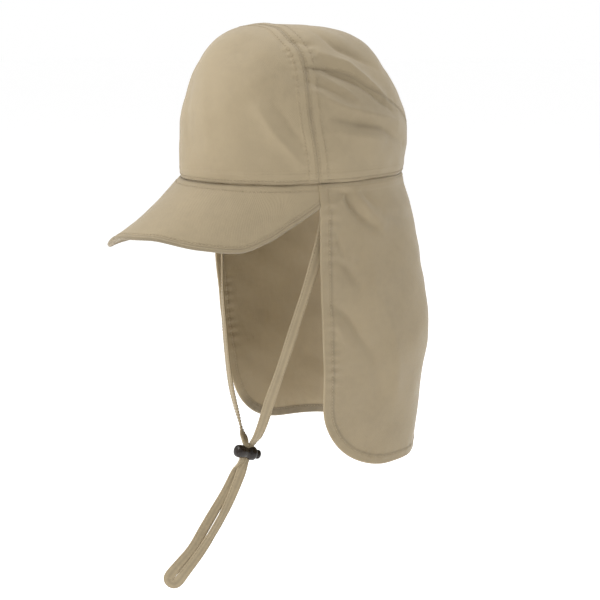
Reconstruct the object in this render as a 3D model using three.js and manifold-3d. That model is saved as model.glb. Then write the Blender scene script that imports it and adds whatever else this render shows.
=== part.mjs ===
// A fishing cap with a stiff curved bill, a long neck flap and a chin strap with a spring cord lock.
// Millimetres, +Z up. The origin is the centre of the head band, the bill points along -Y and the
// wearer's left side is +X. Cloth is built as thin closed walls in the shape that it takes on a head.
import * as THREE from "three";
import { mergeVertices } from "three/addons/utils/BufferGeometryUtils.js";
import Module from "manifold-3d";

const wasm = await Module();
wasm.setup();

// ---- driving dimensions -------------------------------------------------------------------------
const BAND_HALF_WIDTH = 83; // head band ellipse, along X
const BAND_HALF_LENGTH = 102; // head band ellipse, along Y
const CROWN_HEIGHT = 126;
const CROWN_EVEN_BAND = 12; // the folds fade out over this height above the band
const CROWN_FULLEST_BELOW = 90; // the crown bulges between the band and this height
const CLOTH = 1.6; // crown wall
const SEAM_GAP = 0.3; // clear line between two sewn pieces
const SEAM_DEPTH = 9; // a seam is cut this far to each side of the crown's smooth form
const FRONT_EDGE_ANGLE = 74.1; // where bill and flap meet, degrees round from the front

const BILL_HALF_WIDTH = 84.6;
const BILL_REACH = 140.3; // from the bill's rear corners to its tip, along Y
const BILL_REAR_Y = -29.9;
const BILL_THICKNESS = 3;
const BILL_EDGE_ROUND = 0.5; // the edge is thinner by this on each face
const BILL_END_MARGIN = 1.1; // the bill stops short of the flap by this angle, in degrees
const BILL_SAG = 3; // halfway from band to edge the bill lies this far below a straight line

const FLAP_LENGTH = 253;
const FLAP_DRAWN_BACK = 5; // the front edges run back by this angle, in degrees
const FLAP_SIDE_SHARE = 0.55; // share of each half that blends the front edge's form into the back's
const FLAP_CORNER_RADIUS = 62;
const FLAP_CLOTH = 1.4;
const HEM_WIDTH = 8.5;
const HEM_EXTRA = 0.35; // the turned hem stands proud by this on each face

const STRAP_WIDTH = 9;
const STRAP_THICKNESS = 1.6;
const TAIL_TURN_RADIUS = 4.6; // the strap turns round at the tail's end, with its inner edges together

const LOCK_CENTRE = new THREE.Vector3(0, -50, -249);
const LOCK_TILT = 20; // degrees that the barrel's button end hangs lower
const LOCK_SLOT_HALF_WIDTH = 2.1; // across two strap strands
const LOCK_SLOT_HALF_LENGTH = 4.9; // along the strap's width
const PLUNGER_TRAVEL = 2.5;
const PLUNGER_RADIUS = 3.5;
const PLUNGER_HEAD_RADIUS = 4.2;
const PLUNGER_HEAD_LENGTH = 3.2;
const SLIDING_GAP = 0.3;
const BARREL_MOUTH = 8.6;
const BORE_BOTTOM = -9.8;
const ROUND_SIDES = 20;

const rad = THREE.MathUtils.degToRad;
const clamp = THREE.MathUtils.clamp;
const smooth = (t) => THREE.MathUtils.smoothstep(t, 0, 1);

// ---- tables -------------------------------------------------------------------------------------
// Powers of the crown's rounded outline in section and in plan, and how much it bulges.
const CROWN_FORM = {
  front: { section: 2.6, plan: 3.7, bulge: 0.012 },
  back: { section: 2.45, plan: 2.8, bulge: 0.067 },
};

// Edge line of the bill: height of the edge against the angle round from the tip. The last row lies
// past the bill's rear corner and only sets the slope there.
const BILL_EDGE = [
  { angle: 0, z: -40.2 },
  { angle: 22, z: -39.2 },
  { angle: 45, z: -47.2 },
  { angle: 60, z: -50.8 },
  { angle: 70, z: -44.2 },
  { angle: 80, z: -32.2 },
  { angle: 90, z: -19.9 },
  { angle: 100, z: -7 },
];
// The wearer's right front corner of the bill is bent down, and its tip is drawn out a little.
const BILL_BENDS = [
  { angle: -34, spread: 20, drop: 9, out: 0 },
  { angle: -20, spread: 12, drop: 8, out: 4 },
];

// How far the flap stands out from the band line, against its depth as a share of its length.
const FLAP_FLARE = [
  { depth: 0, back: 0.4, left: 0.4, right: 0.4 },
  { depth: 0.12, back: 9, left: 1.5, right: 5 },
  { depth: 0.3, back: 18, left: 1, right: 9 },
  { depth: 0.5, back: 25, left: 0, right: 7 },
  { depth: 0.75, back: 21, left: -4, right: -2 },
  { depth: 1, back: 15, left: -9, right: -9 },
];

// Seams and folds of the crown run through points given by their angle round from the front, in
// degrees, and by their rise, which is 0 at the band and 1 at the top.
const EAR_SEAM = [
  { angle: 74.1, rise: -0.02 },
  { angle: 72.3, rise: 0.1 },
  { angle: 70.5, rise: 0.19 },
  { angle: 69.2, rise: 0.3 },
  { angle: 69, rise: 0.42 },
  { angle: 67.5, rise: 0.52 },
  { angle: 64, rise: 0.62 },
  { angle: 57, rise: 0.72 },
  { angle: 46, rise: 0.835 },
  { angle: 28, rise: 0.9 },
  { angle: 0, rise: 0.927 },
];
const SIDE_SEAM = [
  { angle: 68.3, rise: 0.47 },
  { angle: 87.3, rise: 0.444 },
  { angle: 95.7, rise: 0.414 },
  { angle: 104.3, rise: 0.358 },
  { angle: 117.3, rise: 0.293 },
  { angle: 127.5, rise: 0.251 },
  { angle: 142, rise: 0.185 },
  { angle: 156, rise: 0.09 },
  { angle: 165, rise: -0.02 },
];
const CROWN_FOLDS = [
  {
    height: -3.2, width: 5, side: 1,
    line: [[69.5, 0.46], [78, 0.457], [85, 0.427], [96.5, 0.385], [103.5, 0.343], [112, 0.283], [120, 0.24]],
  },
  {
    height: 3, width: 6, side: 1,
    line: [[78, 0.56], [88, 0.52], [95, 0.49], [102.5, 0.417], [109.5, 0.362], [118, 0.28]],
  },
  {
    height: -3, width: 7, side: 1,
    line: [[82, 0.75], [88, 0.67], [94.5, 0.6], [110, 0.52], [122, 0.46]],
  },
  { height: 1.8, width: 5, side: 1, line: [[75, 0.42], [86.5, 0.355], [97, 0.285]] },
  { height: -1.5, width: 4, side: 1, line: [[69, 0.388], [74.5, 0.367], [79, 0.348], [86, 0.31]] },
  {
    height: 3, width: 6, side: 1,
    line: [[71, 0.335], [81, 0.285], [87, 0.26], [97, 0.235], [111.5, 0.21], [125, 0.185]],
  },
  {
    height: -3, width: 6, side: 1,
    line: [[80, 0.215], [91, 0.193], [99, 0.182], [110.5, 0.165], [119.5, 0.13], [134, 0.09]],
  },
  { height: 1.5, width: 6, side: 1, line: [[82, 0.15], [96.5, 0.135], [112, 0.113]] },
  { height: -2, width: 6, side: 1, line: [[58, 0.675], [67, 0.647], [76, 0.625]] },
  { height: 2.4, width: 6, side: 1, line: [[44, 0.25], [50.5, 0.173], [56.5, 0.118], [65, 0.045]] },
  { height: -2.2, width: 7, side: 1, line: [[52, 0.28], [60, 0.185], [67, 0.1]] },
  { height: -1.6, width: 13, side: 1, line: [[-17, 0.45], [-8, 0.24], [0, 0.08]] },
  { height: 1.2, width: 12, side: 1, line: [[2, 0.46], [12, 0.25], [18, 0.08]] },
  { height: -2.6, width: 7, side: -1, line: [[72, 0.45], [90, 0.42], [108, 0.34], [126, 0.25]] },
  { height: 2.6, width: 8, side: -1, line: [[74, 0.32], [92, 0.26], [112, 0.2]] },
  { height: -2.2, width: 8, side: -1, line: [[86, 0.66], [102, 0.58], [120, 0.5]] },
];
// Folds of the flap: place along the flap (-1 at the wearer's left edge, 1 at the right one) and depth.
const FLAP_FOLDS = [
  {
    height: -4.5, width: 6,
    line: [[-0.95, 5], [-0.87, 8], [-0.855, 14], [-0.83, 22], [-0.79, 30], [-0.73, 39]],
  },
  { height: 2.6, width: 7, line: [[-0.84, 6], [-0.79, 17], [-0.745, 27], [-0.68, 38]] },
  { height: -2, width: 6, line: [[-0.79, 4], [-0.75, 15], [-0.68, 24]] },
  { height: -2.2, width: 9, line: [[-0.66, 28], [-0.58, 34], [-0.48, 38], [-0.38, 40]] },
  { height: -1.2, width: 4, line: [[-0.92, 42], [-0.905, 52], [-0.885, 62]] },
  { height: -1.8, width: 5, line: [[-0.92, 64], [-0.87, 72], [-0.825, 87]] },
  { height: -3, width: 6, line: [[-0.94, 102], [-0.9, 109], [-0.86, 118], [-0.83, 130], [-0.78, 142]] },
  { height: 1.8, width: 6, line: [[-0.95, 113], [-0.92, 124], [-0.88, 138]] },
  { height: 3, width: 14, line: [[-0.79, 50], [-0.765, 79], [-0.745, 101], [-0.69, 118]] },
  { height: -2.4, width: 14, line: [[-0.8, 136], [-0.755, 155], [-0.71, 185]] },
  { height: 2.4, width: 12, line: [[-0.67, 130], [-0.645, 165], [-0.63, 200]] },
  { height: 3, width: 26, line: [[-0.45, 60], [-0.42, 130], [-0.4, 200]] },
  { height: -3, width: 24, line: [[-0.2, 90], [-0.18, 150], [-0.2, 253]] },
  { height: 3, width: 26, line: [[0.08, 60], [0.1, 140], [0.1, 253]] },
  { height: -3.5, width: 24, line: [[0.4, 80], [0.38, 150], [0.4, 230]] },
  { height: -3, width: 8, line: [[0.92, 8], [0.84, 16], [0.76, 34], [0.7, 50]] },
  { height: 2.2, width: 8, line: [[0.84, 6], [0.76, 20], [0.69, 38]] },
];

// Middle line of one side of the strap, from its sewn end inside the band down to the lock. The
// wearer's left side is drawn in a little more than the right one. The two strands come down with
// the left one nearer the back by twice "apart". A turn is the slope of the strap's width outward.
const STRAP_SIDE = [
  { left: 78.5, right: 78.5, y: -20, apart: 0, z: 8, leftTurn: 0.19, rightTurn: 0.19 },
  { left: 78, right: 78.4, y: -21, apart: 0, z: -32, leftTurn: 0.23, rightTurn: 0.19 },
  { left: 71.5, right: 76, y: -26, apart: 0, z: -68, leftTurn: 0.38, rightTurn: 0.6 },
  { left: 58.5, right: 69, y: -32, apart: 0, z: -110, leftTurn: 0.52, rightTurn: 2.2 },
  { left: 43.5, right: 54.5, y: -38, apart: 0, z: -155, leftTurn: 0.6, rightTurn: 6 },
  { left: 27.5, right: 35, y: -43.5, apart: 0.8, z: -196, leftTurn: 0.58, rightTurn: 6 },
  { left: 15.5, right: 16, y: -45.6, apart: 2, z: -222, leftTurn: 0.45, rightTurn: 2.6 },
  { left: 8.2, right: 8.4, y: -46.2, apart: 2.2, z: -234, leftTurn: 0.2, rightTurn: 0.8 },
  { left: 3.6, right: 3.8, y: -47, apart: 1.6, z: -240.4, leftTurn: 0, rightTurn: 0 },
];
const LOCK_PASSAGE = [6.2, 0, -6.2]; // stations of a strand above and below the lock's centre
const STRAND_OFFSET = 1; // half the distance between the two strands in the lock

// Middle line of the hanging tail below the lock. The two strands lie apart across the strap's
// width by "spread" and across its thickness by "lift", each to its own side.
const TAIL = [
  { x: -2.5, y: -58, z: -269, spread: 2.4, lift: 0.95, leftTurn: 0.5, rightTurn: 0.5 },
  { x: -5.5, y: -65.2, z: -286, spread: 3.3, lift: 1, leftTurn: 0.6, rightTurn: 0.8 },
  { x: -9.5, y: -73.6, z: -304, spread: 4.2, lift: 1, leftTurn: 0.1, rightTurn: 0.8 },
  { x: -14, y: -83.6, z: -323, spread: 4.3, lift: 1, leftTurn: 0.1, rightTurn: 0.8 },
  { x: -19, y: -93.5, z: -341, spread: 3.9, lift: 1, leftTurn: 0.6, rightTurn: 0.8 },
  { x: -26, y: -104.5, z: -358, spread: 4.5, lift: 0.6, leftTurn: 0.8, rightTurn: 0.8 },
];
const TAIL_END = { x: -30.3, y: -110.5, z: -367.7, turn: 0.8 }; // the centre that the strap turns round
const TAIL_TURN_ANGLES = [0, 45, 90, 135, 180];

// Outline of the lock's barrel along its own axis: two lobes with a waist where the strap goes in.
const BARREL_PROFILE = [
  { radius: 0, y: -11.6 },
  { radius: 3.2, y: -11.6 },
  { radius: 4.7, y: -11 },
  { radius: 5.5, y: -9.6 },
  { radius: 5.8, y: -7.4 },
  { radius: 5.7, y: -4.8 },
  { radius: 5.2, y: -2.2 },
  { radius: 5, y: -0.6 },
  { radius: 5.3, y: 1.2 },
  { radius: 6.1, y: 3 },
  { radius: 6.4, y: 5 },
  { radius: 6.3, y: 7.2 },
  { radius: 5.7, y: 8.3 },
  { radius: 4.9, y: 8.6 },
  { radius: 0, y: 8.6 },
];

// ---- small tools --------------------------------------------------------------------------------
// Smooth curve through table rows: value of one column against another.
function tableCurve(rows, xKey, yKey) {
  const xs = rows.map((r) => r[xKey]);
  const ys = rows.map((r) => r[yKey]);
  const slopes = xs.map((x, i) => {
    if (i === 0 || i === xs.length - 1) return 0;
    const before = (ys[i] - ys[i - 1]) / (xs[i] - xs[i - 1]);
    const after = (ys[i + 1] - ys[i]) / (xs[i + 1] - xs[i]);
    return before * after > 0 ? (2 * before * after) / (before + after) : 0;
  });
  return (x) => {
    const at = clamp(x, xs[0], xs[xs.length - 1]);
    let i = 0;
    while (i < xs.length - 2 && at > xs[i + 1]) i += 1;
    const step = xs[i + 1] - xs[i];
    const t = (at - xs[i]) / step;
    const a = ys[i] * (1 + 2 * t) * (1 - t) ** 2 + slopes[i] * step * t * (1 - t) ** 2;
    const b = ys[i + 1] * t * t * (3 - 2 * t) - slopes[i + 1] * step * t * t * (1 - t);
    return a + b;
  };
}

// Vertices and triangles as one indexed geometry with shared vertices and no collapsed triangles.
function indexedGeometry(points, triangles) {
  const loose = new THREE.BufferGeometry().setFromPoints(triangles.flat().map((i) => points[i]));
  const merged = mergeVertices(loose, 1e-3);
  const source = merged.index.array;
  const kept = [];
  for (let i = 0; i < source.length; i += 3) {
    const [a, b, c] = [source[i], source[i + 1], source[i + 2]];
    if (a !== b && b !== c && c !== a) kept.push(a, b, c);
  }
  merged.setIndex(kept);
  return merged;
}

// A wall between two grids of points with the same rows and columns. "outer" is seen from outside
// with its rows going up and its columns to the right. A closed wall joins its last column to its first.
function wallGeometry(outer, inner, closed = false) {
  const rows = outer.length;
  const columns = outer[0].length;
  const points = [...outer.flat(), ...inner.flat()];
  const out = (i, j) => i * columns + (j % columns);
  const inn = (i, j) => rows * columns + i * columns + (j % columns);
  const triangles = [];
  const quad = (a, b, c, d) => triangles.push([a, b, c], [a, c, d]);
  const lastColumn = closed ? columns : columns - 1;
  for (let j = 0; j < lastColumn; j += 1) {
    for (let i = 0; i < rows - 1; i += 1) {
      quad(out(i, j), out(i, j + 1), out(i + 1, j + 1), out(i + 1, j));
      triangles.push([inn(i, j), inn(i + 1, j + 1), inn(i, j + 1)]);
      triangles.push([inn(i, j), inn(i + 1, j), inn(i + 1, j + 1)]);
    }
    quad(inn(0, j), inn(0, j + 1), out(0, j + 1), out(0, j));
    quad(out(rows - 1, j), out(rows - 1, j + 1), inn(rows - 1, j + 1), inn(rows - 1, j));
  }
  if (!closed) {
    for (let i = 0; i < rows - 1; i += 1) {
      quad(inn(i, 0), out(i, 0), out(i + 1, 0), inn(i + 1, 0));
      quad(out(i, columns - 1), inn(i, columns - 1), inn(i + 1, columns - 1), out(i + 1, columns - 1));
    }
  }
  return indexedGeometry(points, triangles);
}

// Displacement by folds: each fold is a soft ridge or valley along a line of points in space.
function foldShift(point, folds) {
  const nearest = new THREE.Vector3();
  const segment = new THREE.Line3();
  let shift = 0;
  for (const fold of folds) {
    let best = Infinity;
    let along = 0;
    for (let i = 0; i < fold.points.length - 1; i += 1) {
      segment.set(fold.points[i], fold.points[i + 1]);
      const t = segment.closestPointToPointParameter(point, true);
      const distance = segment.at(t, nearest).distanceTo(point);
      if (distance < best) {
        best = distance;
        along = (i + t) / (fold.points.length - 1);
      }
    }
    const taper = 0.35 + 0.65 * Math.sin(Math.PI * clamp(along, 0.02, 0.98));
    shift += fold.height * taper * Math.exp(-((best / fold.width) ** 2));
  }
  return shift;
}

// Outward normal of a surface function of two parameters.
function surfaceNormal(surface, a, b, stepA, stepB) {
  const alongA = surface(a + stepA, b).sub(surface(a - stepA, b));
  const alongB = surface(a, b + stepB).sub(surface(a, b - stepB));
  return alongA.cross(alongB).normalize();
}

function toSolid(geometry) {
  const bare = new THREE.BufferGeometry();
  bare.setAttribute("position", geometry.getAttribute("position"));
  if (geometry.index) bare.setIndex(geometry.index);
  const merged = mergeVertices(bare, 1e-4);
  return new wasm.Manifold(
    new wasm.Mesh({
      numProp: 3,
      vertProperties: new Float32Array(merged.attributes.position.array),
      triVerts: new Uint32Array(merged.index.array),
    }),
  );
}

function fromSolid(solid) {
  const mesh = solid.getMesh();
  const geometry = new THREE.BufferGeometry();
  geometry.setAttribute("position", new THREE.BufferAttribute(mesh.vertProperties, 3));
  geometry.setIndex(new THREE.BufferAttribute(mesh.triVerts, 1));
  return geometry;
}

function namedMesh(name, geometry, colour, roughness) {
  const shaded = geometry.index ? geometry.toNonIndexed() : geometry;
  shaded.computeVertexNormals();
  const material = new THREE.MeshStandardMaterial({ color: colour, roughness, metalness: 0 });
  const mesh = new THREE.Mesh(shaded, material);
  mesh.name = name;
  return mesh;
}

// ---- crown --------------------------------------------------------------------------------------
// A dome over the band: steep at the front, rounder and fuller at the back, pinched in at the band.
function crownBase(angle, rise) {
  const back = 0.5 - 0.5 * Math.cos(angle);
  const form = (key) => THREE.MathUtils.lerp(CROWN_FORM.front[key], CROWN_FORM.back[key], back);
  const turn = (clamp(rise, 0, 1) * Math.PI) / 2;
  const z = CROWN_HEIGHT * Math.sin(turn) ** (2 / form("section"));
  const shrink = Math.max(Math.cos(turn), 0) ** (2 / form("plan"));
  const bulge = form("bulge") * Math.sin(Math.PI * clamp(z / CROWN_FULLEST_BELOW, 0, 1));
  const scale = shrink * (1 + bulge);
  return new THREE.Vector3(
    BAND_HALF_WIDTH * Math.sin(angle) * scale,
    -BAND_HALF_LENGTH * Math.cos(angle) * scale,
    z,
  );
}

function crownNormal(angle, rise) {
  if (rise > 0.985) return new THREE.Vector3(0, 0, 1);
  return surfaceNormal(crownBase, angle, clamp(rise, 0.02, 0.98), 0.01, 0.01);
}

const crownFolds = CROWN_FOLDS.map((fold) => ({
  ...fold,
  points: fold.line.map(([angle, rise]) => crownBase(rad(angle * fold.side), rise)),
}));

function crownPoint(angle, rise, inward) {
  const base = crownBase(angle, rise);
  const shift = foldShift(base, crownFolds) * smooth(base.z / CROWN_EVEN_BAND);
  return base.addScaledVector(crownNormal(angle, rise), shift - inward);
}

// The whole crown as one wall, cut afterwards along its seams.
function crownShell() {
  const columns = 64;
  const rows = 15;
  const grid = (inward) =>
    Array.from({ length: rows + 1 }, (_, i) =>
      Array.from({ length: columns }, (_, j) => {
        const point = crownPoint((j / columns) * 2 * Math.PI, i / rows, inward);
        if (i === 0) point.z = 0;
        if (i === rows) point.set(0, 0, CROWN_HEIGHT - inward);
        return point;
      }),
    );
  return toSolid(wallGeometry(grid(0), grid(CLOTH), true));
}

// A thin blade through the crown wall along a seam line, as wide as the gap between two panels.
function seamBlade(rows, side) {
  const line = new THREE.CatmullRomCurve3(
    rows.map((r) => new THREE.Vector3(r.angle * side, r.rise * 100, 0)),
  ).getPoints(Math.round(rows.length * 1.6));
  const path = line.map((p) => {
    const base = crownBase(rad(p.x), p.y / 100);
    if (p.y < 0) base.z = p.y;
    return base;
  });
  const faces = [-0.5, 0.5].map((share) =>
    [-SEAM_DEPTH, SEAM_DEPTH].map((height) =>
      path.map((point, i) => {
        const ahead = path[Math.min(i + 1, path.length - 1)];
        const tangent = ahead.clone().sub(path[Math.max(i - 1, 0)]);
        const normal = crownNormal(rad(line[i].x), line[i].y / 100);
        const across = tangent.cross(normal).normalize();
        return point.clone().addScaledVector(across, share * SEAM_GAP).addScaledVector(normal, height);
      }),
    ),
  );
  const blade = toSolid(wallGeometry(faces[0], faces[1]));
  return blade.volume() > 0 ? blade : toSolid(wallGeometry(faces[1], faces[0]));
}

// The crown wall cut along its seams into its four panels.
function crownPanels() {
  const rightHalf = EAR_SEAM.slice(0, -1).reverse();
  const earToEar = [...EAR_SEAM, ...rightHalf.map((r) => ({ angle: -r.angle, rise: r.rise }))];
  const blades = [seamBlade(earToEar, 1), seamBlade(SIDE_SEAM, 1), seamBlade(SIDE_SEAM, -1)];
  const panels = blades.reduce((wall, blade) => wall.subtract(blade), crownShell()).decompose();
  const names = {};
  for (const panel of panels) {
    const { min, max } = panel.boundingBox();
    const middle = (min[0] + max[0]) / 2;
    if (max[2] > CROWN_HEIGHT - 0.5) names.crown_top_panel = panel;
    else if (Math.abs(middle) < 5) names.crown_front_panel = panel;
    else if (middle > 0) names.crown_side_panel_left = panel;
    else names.crown_side_panel_right = panel;
  }
  return names;
}

// ---- band line, bill and flap -------------------------------------------------------------------
// A point of the band ellipse, moved outward by "out" and down by "depth".
function bandPoint(angle, out, depth) {
  const normal = new THREE.Vector3(
    Math.sin(angle) / BAND_HALF_WIDTH,
    -Math.cos(angle) / BAND_HALF_LENGTH,
    0,
  ).normalize();
  const x = BAND_HALF_WIDTH * Math.sin(angle);
  const y = -BAND_HALF_LENGTH * Math.cos(angle);
  return new THREE.Vector3(x, y, -depth).addScaledVector(normal, out);
}

const billEdgeHeight = tableCurve(BILL_EDGE, "angle", "z");

// Upper face of the bill: nearly straight lines from the band out to the edge. "side" runs from -1 at
// the wearer's right rear corner to 1 at the left one, and "reach" from 0 at the band to 1 at the edge.
function billSurface(side, reach) {
  const turn = (side * Math.PI) / 2;
  const degrees = side * 90;
  let drop = 0;
  let out = 0;
  for (const bend of BILL_BENDS) {
    const share = Math.exp(-(((degrees - bend.angle) / bend.spread) ** 2));
    drop += bend.drop * share;
    out += bend.out * share;
  }
  const edge = new THREE.Vector3(
    (BILL_HALF_WIDTH + out) * Math.sin(turn),
    BILL_REAR_Y - (BILL_REACH + out) * Math.cos(turn),
    billEdgeHeight(Math.abs(degrees)) - drop,
  );
  const band = bandPoint(rad(FRONT_EDGE_ANGLE - BILL_END_MARGIN) * side, 0, SEAM_GAP);
  const point = band.lerp(edge, reach);
  point.z -= BILL_SAG * 4 * reach * (1 - reach) * Math.cos(turn);
  return point;
}

function billGeometry() {
  const columns = 30;
  const reaches = [0, 0.06, 0.25, 0.5, 0.75, 0.95, 1];
  const upper = [];
  const lower = [];
  for (const reach of [...reaches].reverse()) {
    const top = [];
    const under = [];
    for (let j = 0; j <= columns; j += 1) {
      const side = clamp((2 * j) / columns - 1, -1, 1);
      const point = billSurface(side, reach);
      const inSide = clamp(side, -0.97, 0.97);
      const normal = surfaceNormal(billSurface, inSide, clamp(reach, 0.05, 0.95), 0.01, 0.02).negate();
      const rounded = reach === 1 ? BILL_EDGE_ROUND : 0;
      top.push(point.clone().addScaledVector(normal, -rounded));
      under.push(point.clone().addScaledVector(normal, -(BILL_THICKNESS - rounded)));
    }
    upper.push(top);
    lower.push(under);
  }
  return wallGeometry(upper, lower);
}

const flareColumns = ["back", "left", "right"];
const flare = Object.fromEntries(
  flareColumns.map((column) => [column, tableCurve(FLAP_FLARE, "depth", column)]),
);
const FLAP_HALF_SPAN = Math.PI - rad(FRONT_EDGE_ANGLE);
const FLAP_HALF_ARC = (FLAP_HALF_SPAN * (BAND_HALF_WIDTH + BAND_HALF_LENGTH)) / 2;

// The flap's surface without folds. "place" runs from -1 at the wearer's left front edge round the
// back to 1 at the right one, and depth is measured down from the band.
function flapBase(place, depth) {
  const share = depth / FLAP_LENGTH;
  const drawnBack = rad(FLAP_DRAWN_BACK) * smooth(share);
  const angle = Math.PI + place * (FLAP_HALF_SPAN - drawnBack);
  const back = smooth((1 - Math.abs(place)) / FLAP_SIDE_SHARE);
  const edge = place < 0 ? flare.left(share) : flare.right(share);
  return bandPoint(angle, edge * (1 - back) + flare.back(share) * back, depth + SEAM_GAP);
}

// Depth of the hem, which runs round a large corner into each front edge.
function flapHemDepth(place) {
  const fromEdge = (1 - Math.abs(place)) * FLAP_HALF_ARC;
  const round = clamp(1 - fromEdge / FLAP_CORNER_RADIUS, 0, 1);
  return FLAP_LENGTH - FLAP_CORNER_RADIUS * (1 - Math.sqrt(1 - round * round));
}

function flapNormal(place, depth) {
  const at = clamp(place, -0.99, 0.99);
  return surfaceNormal(flapBase, at, clamp(depth, 1, FLAP_LENGTH - 1), 0.01, 1).negate();
}

const flapFolds = FLAP_FOLDS.map((fold) => ({
  ...fold,
  points: fold.line.map(([place, depth]) => flapBase(place, depth)),
}));

function flapGeometry() {
  const hemSteps = [0, 0.5 * HEM_WIDTH, HEM_WIDTH - 0.4, HEM_WIDTH + 0.8];
  const edgePlaces = hemSteps.map((step) => 1 - step / FLAP_HALF_ARC);
  const inner = 16;
  const innerPlaces = Array.from({ length: inner }, (_, i) => (edgePlaces[3] * (i + 1)) / inner);
  const rightPlaces = [...innerPlaces, edgePlaces[2], edgePlaces[1], 1];
  const places = [...rightPlaces.map((p) => -p).reverse(), 0, ...rightPlaces];
  const hemRows = hemSteps.map((step) => 1 - step / FLAP_LENGTH);
  const bodyRows = Array.from({ length: 13 }, (_, i) => (hemRows[3] * i) / 13);
  const shares = [...bodyRows, hemRows[3], hemRows[2], hemRows[1], 1];
  const outer = [];
  const innerGrid = [];
  for (const share of [...shares].reverse()) {
    const outRow = [];
    const inRow = [];
    for (const place of places) {
      const depth = share * flapHemDepth(place);
      const point = flapBase(place, depth);
      const normal = flapNormal(place, depth);
      const fold = foldShift(point, flapFolds) * smooth(depth / 10);
      const fromEdge = (1 - Math.abs(place)) * FLAP_HALF_ARC;
      const fromHem = flapHemDepth(place) - depth;
      const hem = Math.min(fromEdge, fromHem) < HEM_WIDTH && depth > 1 ? HEM_EXTRA : 0;
      outRow.push(point.clone().addScaledVector(normal, fold + hem));
      inRow.push(point.clone().addScaledVector(normal, fold - hem - FLAP_CLOTH));
    }
    outer.push(outRow);
    innerGrid.push(inRow);
  }
  return wallGeometry(outer, innerGrid);
}

// ---- chin strap ---------------------------------------------------------------------------------
const lockTurn = new THREE.Matrix4().makeRotationX(-rad(LOCK_TILT));
const lockDown = new THREE.Vector3(0, 0, -1).transformDirection(lockTurn);

// Direction of the strap's width where it runs "along", turned as near as can be to "fore".
function strapAcross(fore, along) {
  return fore.clone().addScaledVector(along, -fore.dot(along)).normalize();
}

const turned = (turn) => new THREE.Vector3(turn, 1, 0);

function tailStation(index, strand) {
  const row = TAIL[index];
  const before = TAIL[index - 1] ?? LOCK_CENTRE;
  const after = TAIL[index + 1] ?? TAIL_END;
  const along = new THREE.Vector3(after.x - before.x, after.y - before.y, after.z - before.z);
  along.normalize();
  const across = strapAcross(turned(TAIL_END.turn), along);
  const lift = along.clone().cross(across);
  const point = new THREE.Vector3(row.x, row.y, row.z)
    .addScaledVector(across, strand * row.spread)
    .addScaledVector(lift, strand * row.lift);
  return { point, fore: turned(strand > 0 ? row.leftTurn : row.rightTurn).multiplyScalar(strand) };
}

// The strap lies flat as it turns round the end of the tail.
function tailTurn() {
  const last = TAIL[TAIL.length - 1];
  const centre = new THREE.Vector3(TAIL_END.x, TAIL_END.y, TAIL_END.z);
  const along = centre.clone().sub(new THREE.Vector3(last.x, last.y, last.z)).normalize();
  const across = strapAcross(turned(TAIL_END.turn), along);
  return TAIL_TURN_ANGLES.map((angle) => {
    const fore = across.clone().multiplyScalar(Math.cos(rad(angle)));
    fore.addScaledVector(along, Math.sin(rad(angle)));
    return { point: centre.clone().addScaledVector(fore, TAIL_TURN_RADIUS), fore };
  });
}

// The whole loop: down the wearer's left side, through the lock, round the tail and up the right
// side. Each station has a point and the direction that the strap's width keeps to.
function strapRoute() {
  const side = (key, sign) =>
    STRAP_SIDE.map((row) => ({
      point: new THREE.Vector3(sign * row[key], row.y + sign * row.apart, row.z),
      fore: turned(sign * row[key + "Turn"]).multiplyScalar(sign),
    }));
  const passage = (sign) =>
    LOCK_PASSAGE.map((height) => {
      const point = LOCK_CENTRE.clone().addScaledVector(lockDown, -height);
      point.x = sign * STRAND_OFFSET;
      return { point, fore: turned(0).multiplyScalar(sign) };
    });
  const tail = (strand) => TAIL.map((row, index) => tailStation(index, strand));
  return [
    ...side("left", 1),
    ...passage(1),
    ...tail(1),
    ...tailTurn(),
    ...tail(-1).reverse(),
    ...passage(-1).reverse(),
    ...side("right", -1).reverse(),
  ];
}

// The route as an extrusion path. Its steps follow the route's own points, so they are short in the
// turns, and the extruded section keeps its width to the stations' directions.
class TapePath extends THREE.CatmullRomCurve3 {
  constructor(stations) {
    super(stations.map((station) => station.point), false, "centripetal");
    this.fores = stations.map((station) => station.fore);
  }

  getSpacedPoints(steps) {
    return this.getPoints(steps);
  }

  foreAt(share) {
    const at = share * (this.fores.length - 1);
    const index = Math.min(Math.floor(at), this.fores.length - 2);
    return this.fores[index].clone().lerp(this.fores[index + 1], at - index);
  }

  computeFrenetFrames(steps) {
    const frames = { tangents: [], normals: [], binormals: [] };
    for (let i = 0; i <= steps; i += 1) {
      const along = this.getTangent(i / steps);
      const across = strapAcross(this.foreAt(i / steps), along);
      frames.tangents.push(along);
      frames.normals.push(across);
      frames.binormals.push(along.clone().cross(across));
    }
    return frames;
  }
}

// A flat tape with rounded edges, two steps from each point of the route to the next.
function strapGeometry() {
  const route = strapRoute();
  const [w, t] = [STRAP_WIDTH / 2, STRAP_THICKNESS / 2];
  const corner = 0.3 * STRAP_THICKNESS;
  const section = new THREE.Shape(
    [
      [w, -t + corner],
      [w, t - corner],
      [w - corner, t],
      [-w + corner, t],
      [-w, t - corner],
      [-w, -t + corner],
      [-w + corner, -t],
      [w - corner, -t],
    ].map(([x, y]) => new THREE.Vector2(x, y)),
  );
  const extrudePath = new TapePath(route);
  return new THREE.ExtrudeGeometry(section, { steps: 2 * (route.length - 1), extrudePath });
}

// ---- cord lock ----------------------------------------------------------------------------------
// The barrel lies along its own Y axis with the button at +Y; the strap passes through along Z.
const PLUNGER_FOOT = BORE_BOTTOM + PLUNGER_TRAVEL + SLIDING_GAP;
const PLUNGER_SHOULDER = BARREL_MOUTH + PLUNGER_TRAVEL + SLIDING_GAP;
const PLUNGER_END = PLUNGER_SHOULDER + PLUNGER_HEAD_LENGTH;

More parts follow.
